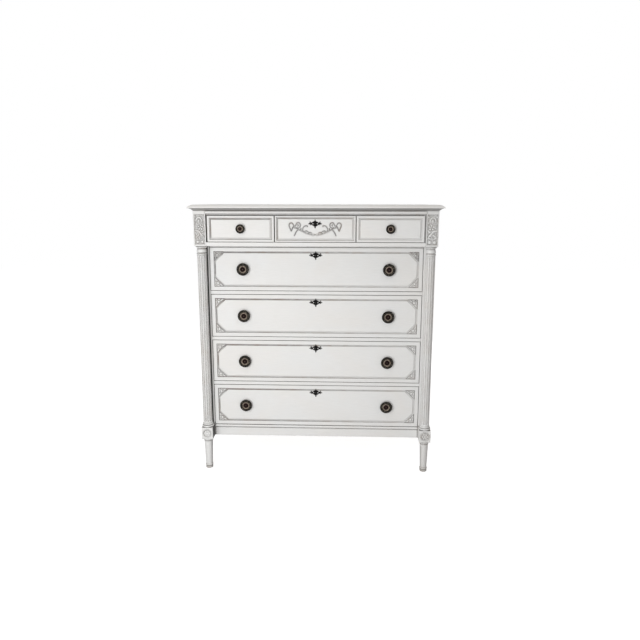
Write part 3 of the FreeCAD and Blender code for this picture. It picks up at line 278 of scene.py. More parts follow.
def painted(g, stretch, glazed_from=0.34, reach=0.0075, lean=0.0, under=0.0, grime=None,
            groove=None, fading=1.0):
    """Satin off-white paint with brush marks along one direction, and glaze with painted shade in
    the hollows.

    A lower glazed_from leaves more glaze and painted shade in shallow hollows, and
    reach is how far from a wall they lie. With lean the painted shade lies thicker on
    slopes that look up or left, and under is how much painted shade lies on what looks down.
    grime gives where a near-black painted shadow lies, groove is the Y of a drawer
    front whose grooves get glaze and painted shade, and fading is the share of
    both that is left at the right end of the chest.
    """
    looks = g.add("SeparateXYZ", {0: g.add("TexCoord").outputs["Normal"]}).outputs
    place = g.add("SeparateXYZ", {0: g.where}).outputs
    strokes = g.noise(g.scaled(stretch), 5.0, 4.0, 0.3)
    clouds = g.noise(g.where, 5.0, 3.0, 0.6)
    patches = g.noise(g.where, 21.0, 3.0, 0.4)
    specks = g.noise(g.where, 130.0, 2.0)
    tone = g.mix(g.ramp(clouds, 0.35, 0.70), PAINT_COOL, PAINT_WARM)
    tone = g.mix(g.ramp(strokes, 0.35, 0.75, 0.0, BRUSH_SHARE), tone, GLAZE_GREY)
    glaze = g.mix(g.ramp(patches, 0.45, 0.65), GLAZE_GREY, GLAZE_BROWN)
    # Glaze and painted shade in corners and creases.
    corners = g.ramp(g.crevice(reach), 0.03, glazed_from, 0.0, CORNER_SHARE)
    # lean lays more painted shade on slopes that look up or left.
    leaning = g.ramp(g.maths("SUBTRACT", looks[2], looks[0]), -0.5, 0.5, 1 - lean, 1 + lean)
    corners = g.maths("MULTIPLY", corners, leaning)
    if groove is not None:
        grooved = g.maths("MULTIPLY", groove_glaze(g, place, looks, groove), leaning)
        corners = g.maths("MAXIMUM", corners, grooved)
        # Much less of it on the slanted corners of a field, which are left light as a painted
        # highlight.
        slanted = g.maths("ABSOLUTE", g.maths("MULTIPLY", looks[0], looks[2]), 0.0)
        corners = g.maths("MULTIPLY", corners, g.ramp(slanted, 0.05, 0.12, 1.0, SLANTED_SHARE))
    # The painted shade lies thicker at the left end of the chest.
    corners = g.maths("MULTIPLY", corners, thinning(g, place, fading))
    corners = g.maths("MULTIPLY", corners, g.ramp(patches, 0.30, 0.65, 0.75, 1.0))
    carved = g.maths("MULTIPLY", g.attribute("hollow"), CARVED_SHARE)
    tone = g.mix(g.maths("MAXIMUM", corners, carved), tone, glaze)
    # Near-black painted shade deep in recesses, thinner at the right end.
    deep = g.ramp(g.crevice(DEEP_REACH), 0.52, 0.74, 0.0, DEEP_SHARE)
    deep = g.maths("MULTIPLY", deep, thinning(g, place, DEEP_SHARE_RIGHT))
    tone = g.mix(deep, tone, GLAZE_DEEP)
    # Painted shade on what looks down.
    if under:
        tone = g.mix(g.ramp(looks[2], -0.10, -0.65, 0.0, under), tone, GLAZE_UNDER)
    # Near-black painted shadows, where grime gives them.
    if grime:
        tone = g.mix(grime(g, place, looks), tone, GRIME)
    rubbed = g.ramp(g.crevice(WORN_REACH, True), 0.50, 0.80)
    rubbed = g.maths("MULTIPLY", rubbed, g.ramp(specks, 0.52, 0.66, 0.0, 0.45))
    scuffs = g.maths("MULTIPLY", g.ramp(place[2], *SCUFFS), g.ramp(patches, 0.35, 0.6, 0.3, 0.9))
    tone = g.mix(g.maths("MAXIMUM", rubbed, scuffs), tone, PAINT_WORN)
    roughness = g.ramp(strokes, 0.3, 0.7, 0.44, 0.58)
    relief = g.maths("ADD", strokes, g.maths("MULTIPLY", specks, 0.15))
    return tone, roughness, g.bump(relief, 0.00025, 0.5)


def painted_wood(name, stretch, **ways):
    g = Graph(name)
    return g.finish(*painted(g, stretch, **ways), Specular_IOR_Level=0.38)


def under_moulding(g, place, looks):
    """Painted shadow of the moulding on the upper edge of the frieze drawers, mostly at the left.
    """
    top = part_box("frieze_drawer_left_front")[1].z
    edge = g.ramp(place[2], top - MOULDING_GRIME[0], top - MOULDING_GRIME[1], 0.0, 0.90)
    return g.maths("MULTIPLY", edge, thinning(g, place, 0.3))


def behind_column(g, place, looks):
    """Painted shadow on the left stile, where the column shades it; none on its outer side."""
    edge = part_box("front_stile_left")[1].x
    shaded = g.ramp(place[0], edge - STILE_GRIME[0], edge - STILE_GRIME[1], 0.0, 0.96)
    return g.maths("MULTIPLY", shaded, g.ramp(looks[0], -0.75, -0.35))


def above_block_foot(g, place, limits, most=1.0):
    """0 at the first height above the leg blocks' underside, most at the second.

    The stiles end at the same height, so that it is read from one of them.
    """
    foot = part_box("front_stile_left")[0].z
    return g.ramp(place[2], foot + limits[0], foot + limits[1], 0.0, most)


def beside_block(g, place, looks):
    """Painted shade on the inner side of the left leg block, and less down the leg's right side.
    """
    inward = g.ramp(looks[0], 0.60, 0.90)
    block = g.maths("MULTIPLY", inward, above_block_foot(g, place, LEG_BLOCK_GRIME, 0.94))
    return g.maths("MAXIMUM", block, g.ramp(looks[0], 0.75, 0.98, 0.0, 0.60))


def down_leg(g, place, looks):
    """Thin painted shade down the right leg, thicker at its sides."""
    sides = g.ramp(g.maths("ABSOLUTE", looks[0], 0.0), 0.55, 0.95, 0.05, 0.40)
    return g.maths("MULTIPLY", sides, above_block_foot(g, place, LEG_GRIME))


def planed(g):
    """Plain planed wood; the grain runs along X, and along Y on faces that look sideways."""
    facing = g.add("SeparateXYZ", {0: g.add("TexCoord").outputs["Normal"]}).outputs[0]
    sideways = g.ramp(g.maths("ABSOLUTE", facing, 0.0), 0.4, 0.6)
    lengthwise = {0: sideways, 4: g.scaled((1.6, 26.0, 26.0)), 5: g.scaled((26.0, 1.6, 26.0))}
    vector = g.add("Mix", lengthwise, data_type="VECTOR").outputs[1]
    rings = g.noise(vector, 1.6, 6.0, 1.2)
    pores = g.noise(vector, 14.0, 2.0)
    patches = g.noise(g.where, 3.0, 2.0)
    tone = g.mix(g.ramp(rings, 0.34, 0.68), WOOD_LIGHT, WOOD_DARK)
    tone = g.mix(g.ramp(pores, 0.55, 0.75, 0.0, 0.35), tone, WOOD_DARK)
    tone = g.mix(g.ramp(patches, 0.35, 0.70, 0.0, 0.22), tone, WOOD_LIGHT)
    tone = g.mix(g.maths("MULTIPLY", g.crevice(0.010), 0.5), tone, WOOD_DARK)
    return tone, g.ramp(rings, 0.3, 0.7, 0.55, 0.70), g.bump(pores, 0.0002, 0.5)


def bare_wood():
    g = Graph("bare_wood_planed")
    return g.finish(*planed(g))


def edge_painted_wood(painted_before):
    """Bare wood whose front, up to painted_before in Y, has caught the paint."""
    g = Graph("bare_wood_painted_edge")
    wood, wood_roughness = planed(g)[:2]
    paint, paint_roughness, paint_normal = painted(g, UPRIGHT, fading=0.1)
    depth = g.add("SeparateXYZ", {0: g.where}).outputs[1]
    ragged = g.maths("ADD", depth, g.ramp(g.noise(g.where, 60.0), 0.3, 0.7, -0.002, 0.002))
    bare = g.ramp(ragged, painted_before, painted_before + 0.001)
    roughness = g.add("Mix", {0: bare, 2: paint_roughness, 3: wood_roughness}).outputs[0]
    return g.finish(g.mix(bare, paint, wood), roughness, paint_normal)


def aged_bronze():
    """Dark bronze, rubbed to a paler brown on what stands proud, reddish at the centre."""
    g = Graph("aged_bronze_patina")
    blotches = g.noise(g.where, 120.0, 3.0)
    tone = g.mix(g.attribute("red"), BRONZE_DARK, BRONZE_RED)
    rub = g.maths("MULTIPLY", g.attribute("worn"), g.ramp(blotches, 0.30, 0.65, 0.35, 1.0))
    spots = g.ramp(g.noise(g.where, 230.0, 1.0), 0.56, 0.66, 0.0, 0.9)
    spots = g.maths("MULTIPLY", spots, g.maths("SUBTRACT", 1.0, g.attribute("red")))
    tone = g.mix(spots, tone, BRONZE_SPOT)
    tone = g.mix(rub, tone, BRONZE_WORN)
    roughness = g.ramp(blotches, 0.3, 0.7, 0.36, 0.55)
    return g.finish(tone, roughness, g.bump(blotches, 0.0002, 0.4), Metallic=0.50,
                    Specular_IOR_Level=0.10)


def black_iron():
    g = Graph("black_iron_waxed")
    blotches = g.noise(g.where, 210.0, 3.0)
    rub = g.maths("MULTIPLY", g.attribute("worn"), g.ramp(blotches, 0.40, 0.70))
    tone = g.mix(rub, IRON_DARK, IRON_WORN)
    roughness = g.ramp(blotches, 0.3, 0.7, 0.42, 0.62)
    return g.finish(tone, roughness, g.bump(blotches, 0.0002, 0.5), Metallic=0.30,
                    Specular_IOR_Level=0.12)


def lock_metal():
    g = Graph("lock_metal_brushed")
    marks = g.noise(g.scaled((8.0, 200.0, 200.0)), 4.0, 3.0)
    tone = g.mix(g.ramp(marks, 0.35, 0.7), LOCK_BRIGHT, LOCK_DULL)
    tone = g.mix(g.maths("MULTIPLY", g.crevice(0.004), 0.7), tone, LOCK_DULL)
    tone = g.mix(g.ramp(g.crevice(0.012), 0.55, 0.85, 0.0, 0.95), tone, IRON_DARK)
    roughness = g.ramp(marks, 0.3, 0.7, 0.28, 0.45)
    return g.finish(tone, roughness, g.bump(marks, 0.0001, 0.3), Metallic=0.95)


# These paints carry painted shade: glaze with painted shade in hollows and grooves, more by the
# way a slope faces, under the top's edge, and painted shadows on the left stile, the frieze
# drawers' top edge and the front legs.
PAINT_ACROSS = painted_wood("painted_wood_brushed_across", ACROSS, lean=0.45)
# With painted shade under the edge of the top.
PAINT_TOP = painted_wood("painted_wood_brushed_top", ACROSS, under=0.68)
PAINT_LONG = painted_wood("painted_wood_long_drawers", ACROSS, lean=0.75, fading=0.45,
                          groove=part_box("long_drawer_1_front")[0].y)
PAINT_FRIEZE = painted_wood("painted_wood_frieze_drawers", ACROSS, lean=0.75, fading=0.35,
                            groove=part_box("frieze_drawer_left_front")[0].y,
                            grime=under_moulding)
PAINT_UPRIGHT = painted_wood("painted_wood_brushed_upright", UPRIGHT, lean=0.30)
PAINT_STILE = painted_wood("painted_wood_grimed_stile", UPRIGHT, grime=behind_column)
# More glaze and painted shade in the column's rings.
PAINT_TURNED = painted_wood("painted_wood_glazed_rings", UPRIGHT, glazed_from=0.16, fading=0.75)
PAINT_LEG = painted_wood("painted_wood_grimed_leg", UPRIGHT, grime=beside_block)
PAINT_LEG_RIGHT = painted_wood("painted_wood_thinly_grimed_leg", UPRIGHT, glazed_from=0.16,
                               grime=down_leg)
PAINT_CARVED = painted_wood("painted_wood_carved", UPRIGHT, reach=0.0025)
PAINT_ROSETTE = painted_wood("painted_wood_rosettes", UPRIGHT, reach=0.0008)
BARE_WOOD = bare_wood()
BRONZE = aged_bronze()
IRON = black_iron()
LOCK = lock_metal()


# ------------------------------------------------------------ pieces
class Seat:
    """A place on a face that looks forward, left or right, for what is drawn flat."""

    WAYS = {
        "front": ((1, 0, 0), (0, -1, 0)),
        "right": ((0, 1, 0), (1, 0, 0)),
        "left": ((0, -1, 0), (-1, 0, 0)),
    }

    def __init__(self, origin, facing="front"):
        across, out = self.WAYS[facing]
        self.origin = np.array(origin, float)
        self.axes = np.array([across, (0, 0, 1), out], float)

    def place(self, across, up, out):
        """Points of the frame, in metres, for millimetres across, up and out from the seat."""
        flat = np.stack(np.broadcast_arrays(across, up, out), axis=-1).reshape(-1, 3)
        return self.origin + flat * MM @ self.axes


class Shape:
    """Points and faces of one piece, gathered from its parts, with values for its finish:
    hollow is how much glaze and painted shade lie there, worn how bare and red how reddish the
    metal is."""

    def __init__(self):
        self.points = []
        self.faces = []
        self.values = {"hollow": [], "worn": [], "red": []}
        self.count = 0

    def add(self, points, faces, **values):
        self.points.append(points)
        self.faces += [tuple(i + self.count for i in face) for face in faces]
        for name, kept in self.values.items():
            kept.append(np.broadcast_to(values.get(name, 0.0), len(points)).astype(float))
        self.count += len(points)

    def piece(self, name, body, slot, material, replaced=()):
        mesh = bpy.data.meshes.new(name)
        mesh.from_pydata(np.concatenate(self.points).tolist(), [], self.faces)
        for value_name, kept in self.values.items():
            attribute = mesh.attributes.new(value_name, "FLOAT", "POINT")
            attribute.data.foreach_set("value", np.concatenate(kept).astype(np.float32))
        mesh.shade_smooth()
        mesh.set_sharp_from_angle(angle=SMOOTH_BELOW)
        mesh.materials.append(material)
        return stand_in(name, mesh, body, replaced)


def stand_in(name, mesh, body, replaced=()):
    """An object for the mesh that rides on a body and may stand for CAD nodes."""
    piece = bpy.data.objects.new(name, mesh)
    bpy.context.scene.collection.objects.link(piece)
    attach(piece, body)
    if replaced:
        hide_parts(*replaced)
    return piece


def smooth_line(points, per_span=8):
    """A smooth line through the points, and the point number, with fractions, along it."""
    p = np.array([points[0], *points, points[-1]], float)
    spans = len(points) - 1
    along = np.linspace(0, spans, spans * per_span + 1)
    first = np.minimum(along.astype(int), spans - 1)
    t = (along - first)[:, None]
    a, b, c, d = (p[first + k] for k in range(4))
    line = 0.5 * (2 * b + (c - a) * t + (2 * a - 5 * b + 4 * c - d) * t ** 2
                  + (3 * b - a - 3 * c + d) * t ** 3)
    return line, along


class Carving:
    """Relief on a flat sheet: strokes of the chisel raise round ridges, and the highest wins."""

    def __init__(self, across, up, step):
        columns = int(round((across[1] - across[0]) / step)) + 1
        rows = int(round((up[1] - up[0]) / step)) + 1
        self.step = step
        self.u, self.v = np.meshgrid(np.linspace(*across, columns), np.linspace(*up, rows))
        self.rise = np.zeros(self.u.shape)
        self.inside = np.full(self.u.shape, -5.0)

    def stroke(self, points, widths, rise, vein=0.0, crown=0.5):
        """A ridge along a smooth line. Widths are half widths at the points."""
        widths = np.broadcast_to(np.array(widths, float), len(points))
        line, along = smooth_line(points)
        half = np.interp(along, range(len(points)), widths)
        best = np.full(self.u.shape, 1e9)
        share = np.ones(self.u.shape)
        size = np.full(self.u.shape, half[0])
        for a, b, wa, wb in zip(line[:-1], line[1:], half[:-1], half[1:]):
            du, dv = b - a
            length = max(du * du + dv * dv, 1e-9)
            s = np.clip(((self.u - a[0]) * du + (self.v - a[1]) * dv) / length, 0, 1)
            distance = np.hypot(self.u - a[0] - s * du, self.v - a[1] - s * dv)
            width = wa + s * (wb - wa)
            nearer = distance - width < best
            best = np.where(nearer, distance - width, best)
            share = np.where(nearer, distance / width, share)
            size = np.where(nearer, width, size)
        self.inside = np.maximum(self.inside, -best)
        t = np.clip(share, 0, 1)
        height = rise * np.sqrt(size / widths.max()) * (1 - t * t) ** crown
        height *= 1 - vein * np.exp(-(t / 0.25) ** 2)
        self.rise = np.maximum(self.rise, height)

    def pair(self, points, widths, rise, vein=0.0, crown=0.5):
        """The same stroke on both sides of the middle line."""
        self.stroke(points, widths, rise, vein, crown)
        self.stroke([(-u, v) for u, v in points], widths, rise, vein, crown)

    def bead(self, u, v, radius, rise):
        self.stroke([(u - 0.01, v), (u + 0.01, v)], radius, rise)

    def ground(self, corners, rise=0.0):
        """A flat floor inside a convex outline, given counter-clockwise."""
        depth = np.full(self.u.shape, 1e9)
        for (u0, v0), (u1, v1) in zip(corners, corners[1:] + corners[:1]):
            length = math.hypot(u1 - u0, v1 - v0)
            side = ((u1 - u0) * (self.v - v0) - (v1 - v0) * (self.u - u0)) / length
            depth = np.minimum(depth, side)
        self.inside = np.maximum(self.inside, depth)
        self.rise = np.where(depth > 0, np.maximum(self.rise, rise), self.rise)

    def pierce(self, u, v, radius, slot=0.0, drop=0.0):
        """A round hole, with a slot below it if drop is above 0."""
        hole = np.hypot(self.u - u, self.v - v) - radius
        if drop:
            sides = np.abs(self.u - u) - slot / 2
            ends = np.maximum(self.v - v, v - drop - self.v)
            hole = np.minimum(hole, np.maximum(sides, ends))
        self.inside = np.minimum(self.inside, hole)

    def hollows(self, least):
        """Glaze and painted shade on the carving, towards 1 in the valleys between strokes.

        A higher least leaves more of it, also on what stands proud, and one below 0 less.
        """
        padded = np.pad(self.rise, VALLEY_WINDOW, mode="edge")
        rows, columns = self.rise.shape
        around = np.zeros_like(self.rise)
        shifts = (0, VALLEY_WINDOW, 2 * VALLEY_WINDOW)
        offsets = [(i, j) for i in shifts for j in shifts]
        for i, j in offsets:
            around += padded[i:i + rows, j:j + columns] / len(offsets)
        top = max(self.rise.max(), 1e-6)
        low = np.clip((VALLEY_BELOW + 0.6 * least - self.rise / top) / VALLEY_SPREAD, 0, 1)
        return np.clip(0.5 * least + (around - self.rise) / top * 1.6 + low, 0, 1)

    def drawn_in(self, ringed, edge):
        """The sheet's points, with those at the border of the kept cells on the outline."""
        rows, columns = self.u.shape
        corners = [ringed[i:i + rows, j:j + columns] for i in (0, 1) for j in (0, 1)]
        rim = np.any(corners, axis=0) & ~np.all(corners, axis=0)
        slope_v, slope_u = np.gradient(self.inside, self.step)
        steep = np.maximum(np.hypot(slope_u, slope_v), 0.3)
        shift = np.clip(-self.inside / steep, -self.step, self.step)
        u = np.where(rim, self.u + shift * slope_u / steep, self.u)
        v = np.where(rim, self.v + shift * slope_v / steep, self.v)
        return u, v, np.where(rim, edge, self.rise + edge)

    def add_to(self, shape, seat, edge=0.0, back=-0.3, trimmed=True, least=0.0):
        """The carved top, its edge and its flat back; trimmed follows the strokes' outline."""
        rows, columns = self.u.shape
        level = self.inside
        middle = (level[:-1, :-1] + level[1:, :-1] + level[:-1, 1:] + level[1:, 1:]) / 4
        kept = middle > 0 if trimmed else np.ones(middle.shape, bool)
        ringed = np.pad(kept, 1)
        u, v, out = self.u, self.v, self.rise + edge
        if trimmed:
            u, v, out = self.drawn_in(ringed, edge)
        number = np.arange(rows * columns).reshape(rows, columns)
        i, j = np.nonzero(kept)
        a, b = number[i, j], number[i, j + 1]
        c, d = number[i + 1, j + 1], number[i + 1, j]
        total = rows * columns
        faces = [*zip(a, b, c, d), *zip(d + total, c + total, b + total, a + total)]
        for start, end, di, dj in ((a, b, -1, 0), (b, c, 0, 1), (c, d, 1, 0), (d, a, 0, -1)):
            open_side = ~ringed[i + 1 + di, j + 1 + dj]
            s, e = start[open_side], end[open_side]
            faces += zip(s + total, e + total, e, s)
        points = np.concatenate([seat.place(u, v, out), seat.place(u, v, np.full(u.shape, back))])
        used = np.unique(np.array(faces))
        renumber = np.full(2 * total, -1)
        renumber[used] = np.arange(len(used))
        faces = [tuple(face) for face in renumber[np.array(faces)].tolist()]
        hollow = np.tile(self.hollows(least).ravel(), 2)[used]
        proud = np.tile((self.rise / max(self.rise.max(), 1e-6)).ravel(), 2)[used]
        shape.add(points[used], faces, hollow=hollow, worn=proud ** 3)


def turned(shape, seat, profile, segments=96, wave=None, red=0.0, hollow=None):
    """Turned part about the seat's outward axis. The profile is (radius, out, worn) points.

    wave(radius, angle) is added to out, for petals and beads, and hollow(radius, angle)
    says how much glaze and painted shade lie there.
    """
    profile = np.array([tuple(p) + (0.0,) * (3 - len(p)) for p in profile], float)
    angle = np.linspace(0, 2 * math.pi, segments, endpoint=False)
    radius, angles = np.meshgrid(profile[:, 0], angle, indexing="ij")
    out = np.broadcast_to(profile[:, 1][:, None], radius.shape).copy()
    worn = np.broadcast_to(profile[:, 2][:, None], radius.shape).copy()
    if wave is not None:
        change = wave(radius, angles)
        out += change
        worn = np.clip(worn + np.where(change > 0, change, 0) * BEAD_WEAR, 0, 1)
    rings = len(profile)
    faces = []
    following = np.roll(np.arange(segments), -1)
    for k in range(rings - 1):
        low, high = k * segments, (k + 1) * segments
        faces += [(low + s, low + n, high + n, high + s)
                  for s, n in zip(range(segments), following.tolist())]
    if profile[-1, 0] > 0:
        faces.append(tuple((rings - 1) * segments + s for s in range(segments)))
    else:
        last = (rings - 1) * segments
        faces = [tuple(last if i >= last else i for i in face) for face in faces]
        faces = [tuple(dict.fromkeys(face)) for face in faces]
    if profile[0, 0] > 0:
        faces.append(tuple(reversed(range(segments))))
    points = seat.place(radius * np.cos(angles), radius * np.sin(angles), out)
    stain = hollow(radius, angles) if hollow else np.zeros(radius.shape)
    if profile[-1, 0] <= 0:
        points = points[:last + 1]
    total = len(points)
    shape.add(points, faces, worn=worn.ravel()[:total], red=red, hollow=stain.ravel()[:total])


def arc(start, end, bulge, steps):
    """Points from start to end along a shallow arc that stands out by bulge on its left."""
    start, end = np.array(start, float), np.array(end, float)
    t = np.linspace(0, 1, steps + 1)[:, None]
    chord = end - start
    left = np.array([-chord[1], chord[0]]) / max(np.hypot(*chord), 1e-9)
    return [tuple(p) for p in start + chord * t + left * bulge * 4 * t * (1 - t)]


def weigh_normals(mesh):
    """Shades large flat faces flat, and the narrow roundings between them smooth."""
    vertex = np.empty(len(mesh.loops), int)
    mesh.loops.foreach_get("vertex_index", vertex)
    count = len(mesh.polygons)
    corners, area, normal = np.empty(count, int), np.empty(count), np.empty(count * 3)
    mesh.polygons.foreach_get("loop_total", corners)
    mesh.polygons.foreach_get("area", area)
    mesh.polygons.foreach_get("normal", normal)
    normal = normal.reshape(-1, 3)
    face = np.repeat(np.arange(count), corners)
    order = np.argsort(vertex, kind="stable")
    starts = np.flatnonzero(np.diff(vertex[order])) + 1
    weighed = np.empty((len(vertex), 3))
    for group in np.split(order, starts):
        near = normal[face[group]]
        together = near @ near.T > math.cos(SMOOTH_FACES)
        weighed[group] = together * area[face[group]] @ near
    length = np.linalg.norm(weighed, axis=1)[:, None]
    weighed = np.where(length > 0, weighed / np.maximum(length, 1e-30), normal[face])
    mesh.normals_split_custom_set(weighed.tolist())


def softened(node, material, rounding):
    """The CAD board with its sharp edges rounded, shown in place of the node."""
    source = frame["nodes"][node]
    work = bmesh.new()
    work.from_mesh(source.data)
    bmesh.ops.remove_doubles(work, verts=work.verts, dist=MERGED_WITHIN)
    bmesh.ops.dissolve_limit(work, angle_limit=FLAT_WITHIN, verts=work.verts, edges=work.edges)
    sharp = [e for e in work.edges
             if len(e.link_faces) == 2 and e.calc_face_angle(0) > ROUNDED_ABOVE]
    bmesh.ops.bevel(work, geom=sharp, offset=rounding, segments=ROUNDING_SEGMENTS,
                    profile=0.5, affect="EDGES", clamp_overlap=True, harden_normals=False)
    mesh = bpy.data.meshes.new(node + "_finished")
    work.to_mesh(mesh)
    work.free()
    mesh.shade_smooth()
    weigh_normals(mesh)
    mesh.materials.append(material)
    stand_in(node + "_finished", mesh, source["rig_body"], (node,))


def dressed(node, material):
    """The CAD node as it is, with its finish."""
    for place in frame["nodes"][node].material_slots:
        place.material = material


# ------------------------------------------------------------ case
def case_boards():
    softened("top_board", PAINT_TOP, TOP_ROUNDING)
    for node in ("frieze_moulding", "frieze_rail", "drawer_rails", "front_apron", "case_rails"):
        softened(node, PAINT_ACROSS, BOARD_ROUNDING)
    for side, _ in SIDES:
        for node in ("corner_block_", "rear_leg_", "side_panel_"):
            softened(node + side, PAINT_UPRIGHT, BOARD_ROUNDING)
        dressed("column_" + side, PAINT_TURNED)
    softened("front_stile_left", PAINT_STILE, BOARD_ROUNDING)
    softened("front_stile_right", PAINT_UPRIGHT, BOARD_ROUNDING)
    dressed("front_leg_left", PAINT_LEG)
    dressed("front_leg_right", PAINT_LEG_RIGHT)
    for node in ("back_panel", "frieze_dust_board", "drawer_runners", "drawer_stops"):
        dressed(node, BARE_WOOD)
    dressed("frieze_partitions", edge_painted_wood(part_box("corner_block_left")[1].y))


def block_pattern(width, height, sign):
    """Two round buds, crossed ribbons, a flower and an arched leaf, drawn up from the base."""
    c = Carving((-width / 2, width / 2), (0, height), BLOCK_STEP)
    for side in (-1, 1):
        c.bead(side * 10.0, 11.0, 6.4, 2.8)
    c.stroke([(0, 17), (0, 24), (0, 31)], [1.6, 3.2, 1.2], 2.4)
    c.pair([(7, 24), (13, 27.5), (19, 26)], [1.8, 3.6, 2.4], 2.5, 0.2)
    over = [(-16, 33), (-8, 39), (-2, 48), (6, 56), (19, 58)]
    c.stroke([(sign * u, v) for u, v in over], [2.6, 4.2, 3.8, 4.2, 2.6], 2.7, 0.25)
    for under in ([(16, 33), (9, 36), (2.5, 42)], [(-9, 53), (-14, 55), (-19, 61)]):
        c.stroke([(sign * u, v) for u, v in under], [3.4, 3.8, 2.8], 2.5, 0.25)
    for turn in range(5):
        a = math.radians(90 + 72 * turn)
        tip = (-sign * 4.0 + 10.0 * math.cos(a), 72.0 + 10.0 * math.sin(a))
        near = (-sign * 4.0 + 4.6 * math.cos(a), 72.0 + 4.6 * math.sin(a))
        c.stroke([near, tip], [2.2, 3.8], 3.0)
    c.bead(-sign * 4.0, 72.0, 2.6, 3.0)
    arch = [(-12, 92), (-11, 102), (-5, 111), (5, 111), (11, 102), (12, 92)]
    c.stroke([(u + sign * 1.5, v) for u, v in arch], [1.8, 3.2, 3.4, 3.4, 3.2, 1.8], 2.7)
    c.stroke([(sign * 1.5, 89), (sign * 1.5, 100)], [2.2, 3.8], 2.6)
    c.pair([(17.5, 113), (18, 116)], 3.2, 2.4)
    c.pair([(18.5, 88), (18.5, 95)], [2.4, 1.6], 2.2)
    return c


def block_carvings():
    """Carved panels let into the front and the outer side of each corner block."""
    for side, sign in SIDES:
        low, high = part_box("corner_block_" + side)
        z0 = low.z + BLOCK_BASE * MM
        height = (high.z - BLOCK_CAP * MM - z0) / MM
        width = (high.x - low.x) / MM - 2 * BLOCK_MARGIN
        depth = (high.y - low.y) / MM - 2 * BLOCK_MARGIN
        outer = (high.x if sign > 0 else low.x) - sign * BLOCK_SINK * MM
        places = (
            ("front", width, ((low.x + high.x) / 2, low.y + BLOCK_SINK * MM, z0), "front"),
            ("side", depth, (outer, (low.y + high.y) / 2, z0), side),
        )
        for name, across, origin, facing in places:
            shape = Shape()
            pattern = block_pattern(across, height, sign)
            pattern.add_to(shape, Seat(origin, facing), trimmed=False, least=BLOCK_GLAZE[side])
            shape.piece("corner_block_%s_%s_carving" % (side, name), "root",
                        "painted_wood", PAINT_CARVED)


def rosettes():
    """Round carved flowers on the leg blocks: a rim, six petals and a boss."""
    low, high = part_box("leg_rosettes")
    z = (low.z + high.z) / 2
    r = ROSETTE_RADIUS
    profile = [(r, 0.0), (r, 1.4)] + arc((r, 1.4), (0.90 * r, 1.2), -0.9, 5)[1:]
    profile += arc((0.90 * r, 1.2), (0.76 * r, 1.2), 1.0, 6)[1:]
    profile += arc((0.76 * r, 1.2), (0.28 * r, 1.5), -1.3, 14)[1:]
    profile += arc((0.28 * r, 1.5), (0.0, 3.4), -0.8, 8)[1:]

    def petals(radius, angle):
        share = np.clip((radius / r - 0.28) / 0.50, 0, 1)
        swell = np.sin(math.pi * share) ** 0.7
        return swell * (1.7 * np.abs(np.cos(3 * angle)) ** 0.7 - 0.8)

    def glazed(radius, angle, share):
        """Glaze and painted shade between the petals, round the boss and, as a painted shadow most
        at the upper left, inside the rim.
        """
        between = (1 - np.abs(np.cos(3 * angle))) * np.exp(-((radius / r - 0.58) / 0.24) ** 4)
        boss = 0.8 * np.exp(-((radius / r - 0.29) / 0.06) ** 2)
        ringed = 1.6 * np.exp(-((radius / r - 0.84) / 0.07) ** 2)
        ringed *= 0.65 + 0.35 * np.cos(angle - 2.4)
        return np.maximum(share * np.maximum(between, boss), np.minimum(ringed, 1))

    shape = Shape()
    for side, sign in SIDES:
        leg_low, leg_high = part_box("front_leg_" + side)
        middle = (leg_low.x + leg_high.x) / 2
        column_low, column_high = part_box("column_" + side)
        y_axis = (column_low.y + column_high.y) / 2
        outer = leg_high.x if sign > 0 else leg_low.x
        glaze = functools.partial(glazed, share=ROSETTE_GLAZE[side])
        for seat in (Seat((middle, leg_low.y, z)), Seat((outer, y_axis, z), side)):
            turned(shape, seat, profile, 128, petals, hollow=glaze)
    shape.piece("leg_rosettes_carved", "root", "painted_wood", PAINT_ROSETTE, ("leg_rosettes",))


# ------------------------------------------------------------ drawers
def spandrel_pattern():
    """A leaf for a right-angled triangle, drawn from its square corner.

    A large bud stands in the middle, a small one in the corner, and three lobes follow
    each of the two short sides.
    """
    reach = SPANDREL_REACH - SPANDREL_INSET
    span = (-SPANDREL_STEP, reach + SPANDREL_STEP)
    c = Carving(span, span, SPANDREL_STEP)
    c.ground([(0, 0), (reach, 0), (0, reach)])
    lobes = (
        ([(11.5, 4.2), (17, 4.8), (22, 3.6)], [1.8, 2.6, 1.2], 1.9),
        ([(23.5, 9.5), (29, 6.4), (36, 2.8)], [1.6, 2.9, 1.0], 1.9),
        ([(9, 9.5), (5.8, 12.5)], [1.6, 1.4], 1.6),
    )
    for line, widths, rise in lobes:
        c.stroke(line, widths, rise)
        c.stroke([(v, u) for u, v in line], widths, rise)
    c.bead(14.6, 14.6, 5.4, 2.4)
    c.bead(4.6, 4.6, 2.8, 1.9)
    return c


def mirrored_seat(origin, sign_x, sign_z):
    """A forward seat with its across and up turned over, for the other corners."""
    seat = Seat(origin)
    seat.axes[0] *= sign_x
    seat.axes[1] *= sign_z
    return seat


def flip(shape):
    """Turns every face over, after a mirrored seat."""
    shape.faces = [tuple(reversed(face)) for face in shape.faces]


